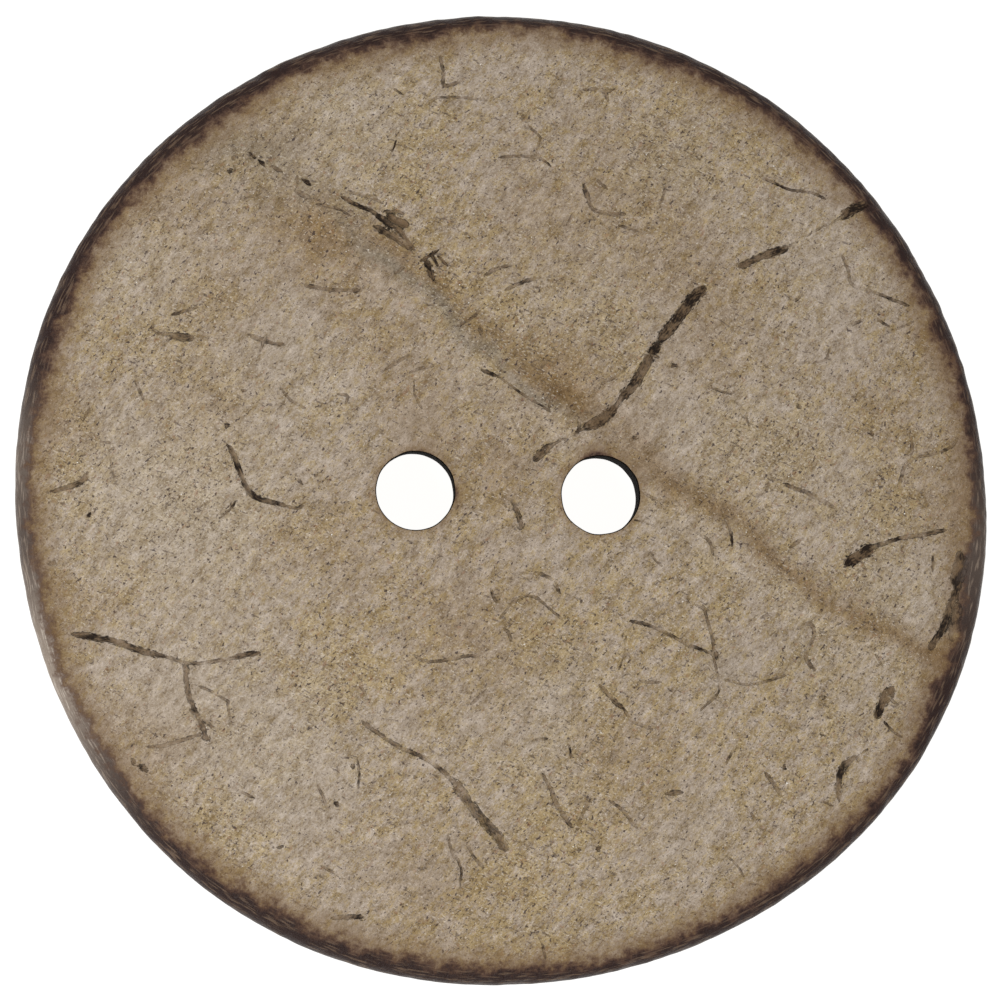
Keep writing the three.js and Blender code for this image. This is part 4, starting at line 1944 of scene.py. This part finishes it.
    def skin_attributes(self, draft: Draft, skin_count: int) -> dict[str, np.ndarray]:
        """What the skin's material reads at each point.

        Args:
            draft: The finished draft.
            skin_count: How many points, from the first, belong to the skin and the rim.

        Returns:
            The values for every point of the draft, by attribute name.
        """
        everything = np.vstack(draft.points)
        x, y, z = everything.T
        turn = np.arctan2(y, x)
        marks = self.skin.marks(x, y)
        inset = self.outline.radius(turn) - np.hypot(x, y)
        low = np.clip(self.face_edge_height + self.wear_rise - z, 0, None)
        wear = np.maximum(self.outline.worn(turn) - inset + low, self.mouth_wear(x, y))
        tone = self.faintest_tone + (1 - self.faintest_tone) * marks.tone
        on_skin = np.arange(len(x)) < skin_count
        return {
            "vein": np.where(on_skin, marks.nearness, self.skin.nearness_floor),
            "vein_tone": np.where(on_skin, tone, 0),
            "vein_along": marks.along,
            "vein_across": marks.across,
            # Two of these tints also carry the seam's painted shade and light.
            **{name: self.skin.stained(x, y, *parts) for name, parts in STAINS_AND_SEAM_SHADING.items()},
            "wear": np.where(on_skin, wear, 0),
            # Where a pale highlight is painted on the rim.
            "painted_rim_highlight": np.where(on_skin, self.outline.painted_rim_highlight(turn), 0),
        }

    def mouth_wear(self, x: np.ndarray, y: np.ndarray) -> np.ndarray:
        """How far some points are inside the worn skin at the thread holes' mouths.

        Args:
            x: The points' x.
            y: The points' y.

        Returns:
            The distances, far below zero away from the mouths.
        """
        worn = np.full(np.shape(x), -9.0)
        for side, arcs in self.mouth_arcs.items():
            dx = x - side * self.hole_spacing / 2
            beyond = np.hypot(dx, y) - self.hole_radius
            reach = sum_of_arcs(np.arctan2(y, dx), arcs)
            worn = np.maximum(worn, reach - self.mouth_wear_fall * beyond - self.mouth_wear_start)
        return worn

    def dress(self, mesh: bpy.types.Mesh) -> None:
        """Gives the mesh its four materials, in the order of their surfaces."""
        finishes = {
            Surface.SKIN: WeatheredSkinFinish(),
            Surface.INNER_FACE: SCRAPED_INNER_SHELL,
            Surface.GROUND_RING: SANDED_SHELL,
            Surface.BORE: BORE_SHELL_PAINTED_SHADE,
        }
        for surface in Surface:
            mesh.materials.append(finishes[surface].build())

    def build(self) -> bpy.types.Object:
        """Builds the disc and puts it in the frame.

        Returns:
            The disc's object.
        """
        draft, attributes = self.build_mesh()
        triangles = np.vstack(draft.triangles)
        mesh = bpy.data.meshes.new("button_body")
        mesh.from_pydata(np.vstack(draft.points) * MM, [], triangles.tolist())
        mesh.polygons.foreach_set("material_index", np.concatenate(draft.surfaces))
        for name, values in attributes.items():
            layer = mesh.attributes.new(name, "FLOAT", "POINT")
            layer.data.foreach_set("value", values.astype(np.float32))
        mesh.shade_smooth()
        mesh.update()
        self.dress(mesh)
        body = bpy.data.objects.new("button_body", mesh)
        bpy.context.scene.collection.objects.link(body)
        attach(body, "root")
        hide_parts(DISC_NODE)
        log.info("button_body: %d points, %d triangles", draft.count, len(triangles))
        return body


# ---- Floor, light and camera ----


def direction(heading: float, elevation: float) -> Vector:
    """A unit vector by its heading from +X towards +Y and its height above the floor, in degrees."""
    turn, rise = math.radians(heading), math.radians(elevation)
    return Vector((math.cos(turn) * math.cos(rise), math.sin(turn) * math.cos(rise), math.sin(rise)))


@dataclass(frozen=True)
class Softbox:
    """One soft lamp that looks at the button.

    Attributes:
        name: Its name.
        heading: Which side it stands on, in degrees from +X towards +Y.
        elevation: How high it stands, in degrees.
        distance: How far away it is.
        size: The length of its square side.
        power: Its power in watts.
    """

    name: str
    heading: float
    elevation: float
    distance: float
    size: float
    power: float


@dataclass(frozen=True)
class Studio:
    """A white table, soft light from the lower left, and the camera almost straight above.

    Attributes:
        floor_size: The length of the table's square side.
        floor_colour: The colour of the light behind the table's paper, as sRGB hex.
        floor_shade: The colour of the paper itself.
        floor_glow: How strong the light behind it is.
        floor_drop: How far the table is under the button, so that the two don't share a plane.
        sky_strength: How strong the light from all round is.
        softboxes: The lamps.
        camera_tilt: How far the camera leans off straight above, in degrees.
        camera_heading: To which side it leans, in degrees from +X towards +Y.
        camera_roll: How far it is turned about its own line of sight, in degrees.
        camera_distance: How far it is from what it looks at.
        view_width: How much it sees across at that distance.
        aim_height: How high the point is that it looks at.
        aim_right: How far to the right of the button's middle that point is.
        aim_up: How far above it in the view.
        sensor_width: The width of the camera's sensor.
    """

    floor_size: float = 3000.0
    floor_colour: int = 0xF4F3F1
    floor_shade: int = 0x7C7C7C
    floor_glow: float = 1.08
    floor_drop: float = 0.02
    sky_strength: float = 0.69
    softboxes: tuple[Softbox, ...] = (Softbox("key_softbox", 215, 48, 700, 240, 2.3),)
    camera_tilt: float = 5.5
    camera_heading: float = 225.0
    camera_roll: float = 1.1
    camera_distance: float = 217.5
    view_width: float = 52.0
    aim_height: float = 2.0
    aim_right: float = -0.173
    aim_up: float = -0.128
    sensor_width: float = 36.0

    def build(self) -> None:
        """Builds the floor, the light and the camera."""
        self.lay_floor()
        self.light()
        self.place_camera()

    def lay_floor(self) -> None:
        """Lays the white table under the button."""
        half = self.floor_size / 2 * MM
        mesh = bpy.data.meshes.new("white_table")
        corners = [(-half, -half, 0), (half, -half, 0), (half, half, 0), (-half, half, 0)]
        mesh.from_pydata(corners, [], [(0, 1, 2, 3)])
        material = new_material("white_table_paper")
        tree = material.node_tree
        # Backlit white paper: it reads white all over, and still takes a faint shadow.
        matt = add(tree, "BsdfDiffuse", {"Color": linear(self.floor_shade)})
        glow = add(tree, "Emission", {"Color": linear(self.floor_colour), "Strength": self.floor_glow})
        add(tree, "OutputMaterial", {"Surface": add(tree, "AddShader", {0: matt, 1: glow})})
        mesh.materials.append(material)
        floor = bpy.data.objects.new("white_table", mesh)
        bpy.context.scene.collection.objects.link(floor)
        floor.location.z = -self.floor_drop * MM

    def light(self) -> None:
        """Sets the even white surroundings and the softboxes."""
        world = bpy.data.worlds.new("white_room")
        world.use_nodes = True
        world.node_tree.nodes.clear()
        tree = world.node_tree
        sky = add(tree, "Background", {"Color": (1.0, 1.0, 1.0, 1.0), "Strength": self.sky_strength})
        seen = add(tree, "Background", {"Color": (1.0, 1.0, 1.0, 1.0), "Strength": 1.0})
        path = add(tree, "LightPath").outputs["Is Camera Ray"]
        mixed = add(tree, "MixShader", {0: path, 1: sky, 2: seen})
        add(tree, "OutputWorld", {"Surface": mixed})
        bpy.context.scene.world = world
        for box in self.softboxes:
            lamp = bpy.data.lights.new(box.name, "AREA")
            lamp.size = box.size * MM
            lamp.energy = box.power
            stand = bpy.data.objects.new(box.name, lamp)
            way = direction(box.heading, box.elevation)
            stand.location = way * box.distance * MM
            stand.rotation_euler = way.to_track_quat("Z", "Y").to_euler()
            bpy.context.scene.collection.objects.link(stand)

    def place_camera(self) -> None:
        """Hangs the camera above the button, leaning a little to the lower left."""
        roll = math.radians(self.camera_roll)
        back = direction(self.camera_heading, 90 - self.camera_tilt)
        up = Vector((-math.sin(roll), math.cos(roll), 0))
        up = (up - back * up.dot(back)).normalized()
        right = up.cross(back)
        aim = Vector((0, 0, self.aim_height)) + right * self.aim_right + up * self.aim_up
        lens = bpy.data.cameras.new("camera")
        lens.sensor_width = self.sensor_width
        lens.lens = self.sensor_width * self.camera_distance / self.view_width
        lens.clip_start = 0.001
        lens.clip_end = 100
        camera = bpy.data.objects.new("camera", lens)
        turned = Matrix((right, up, back)).transposed()
        camera.matrix_world = Matrix.Translation((aim + back * self.camera_distance) * MM) @ turned.to_4x4()
        bpy.context.scene.collection.objects.link(camera)
        bpy.context.scene.camera = camera


def main() -> None:
    """Builds the button and its studio."""
    logging.basicConfig(level=logging.INFO, format="%(name)s: %(message)s")
    bpy.context.scene.view_settings.view_transform = "Standard"
    body = ShellDisc().build()
    log.info("dressed %s with %d materials", body.name, len(body.data.materials))
    Studio().build()
    log.info("studio ready")


if __name__ == "__main__":
    main()
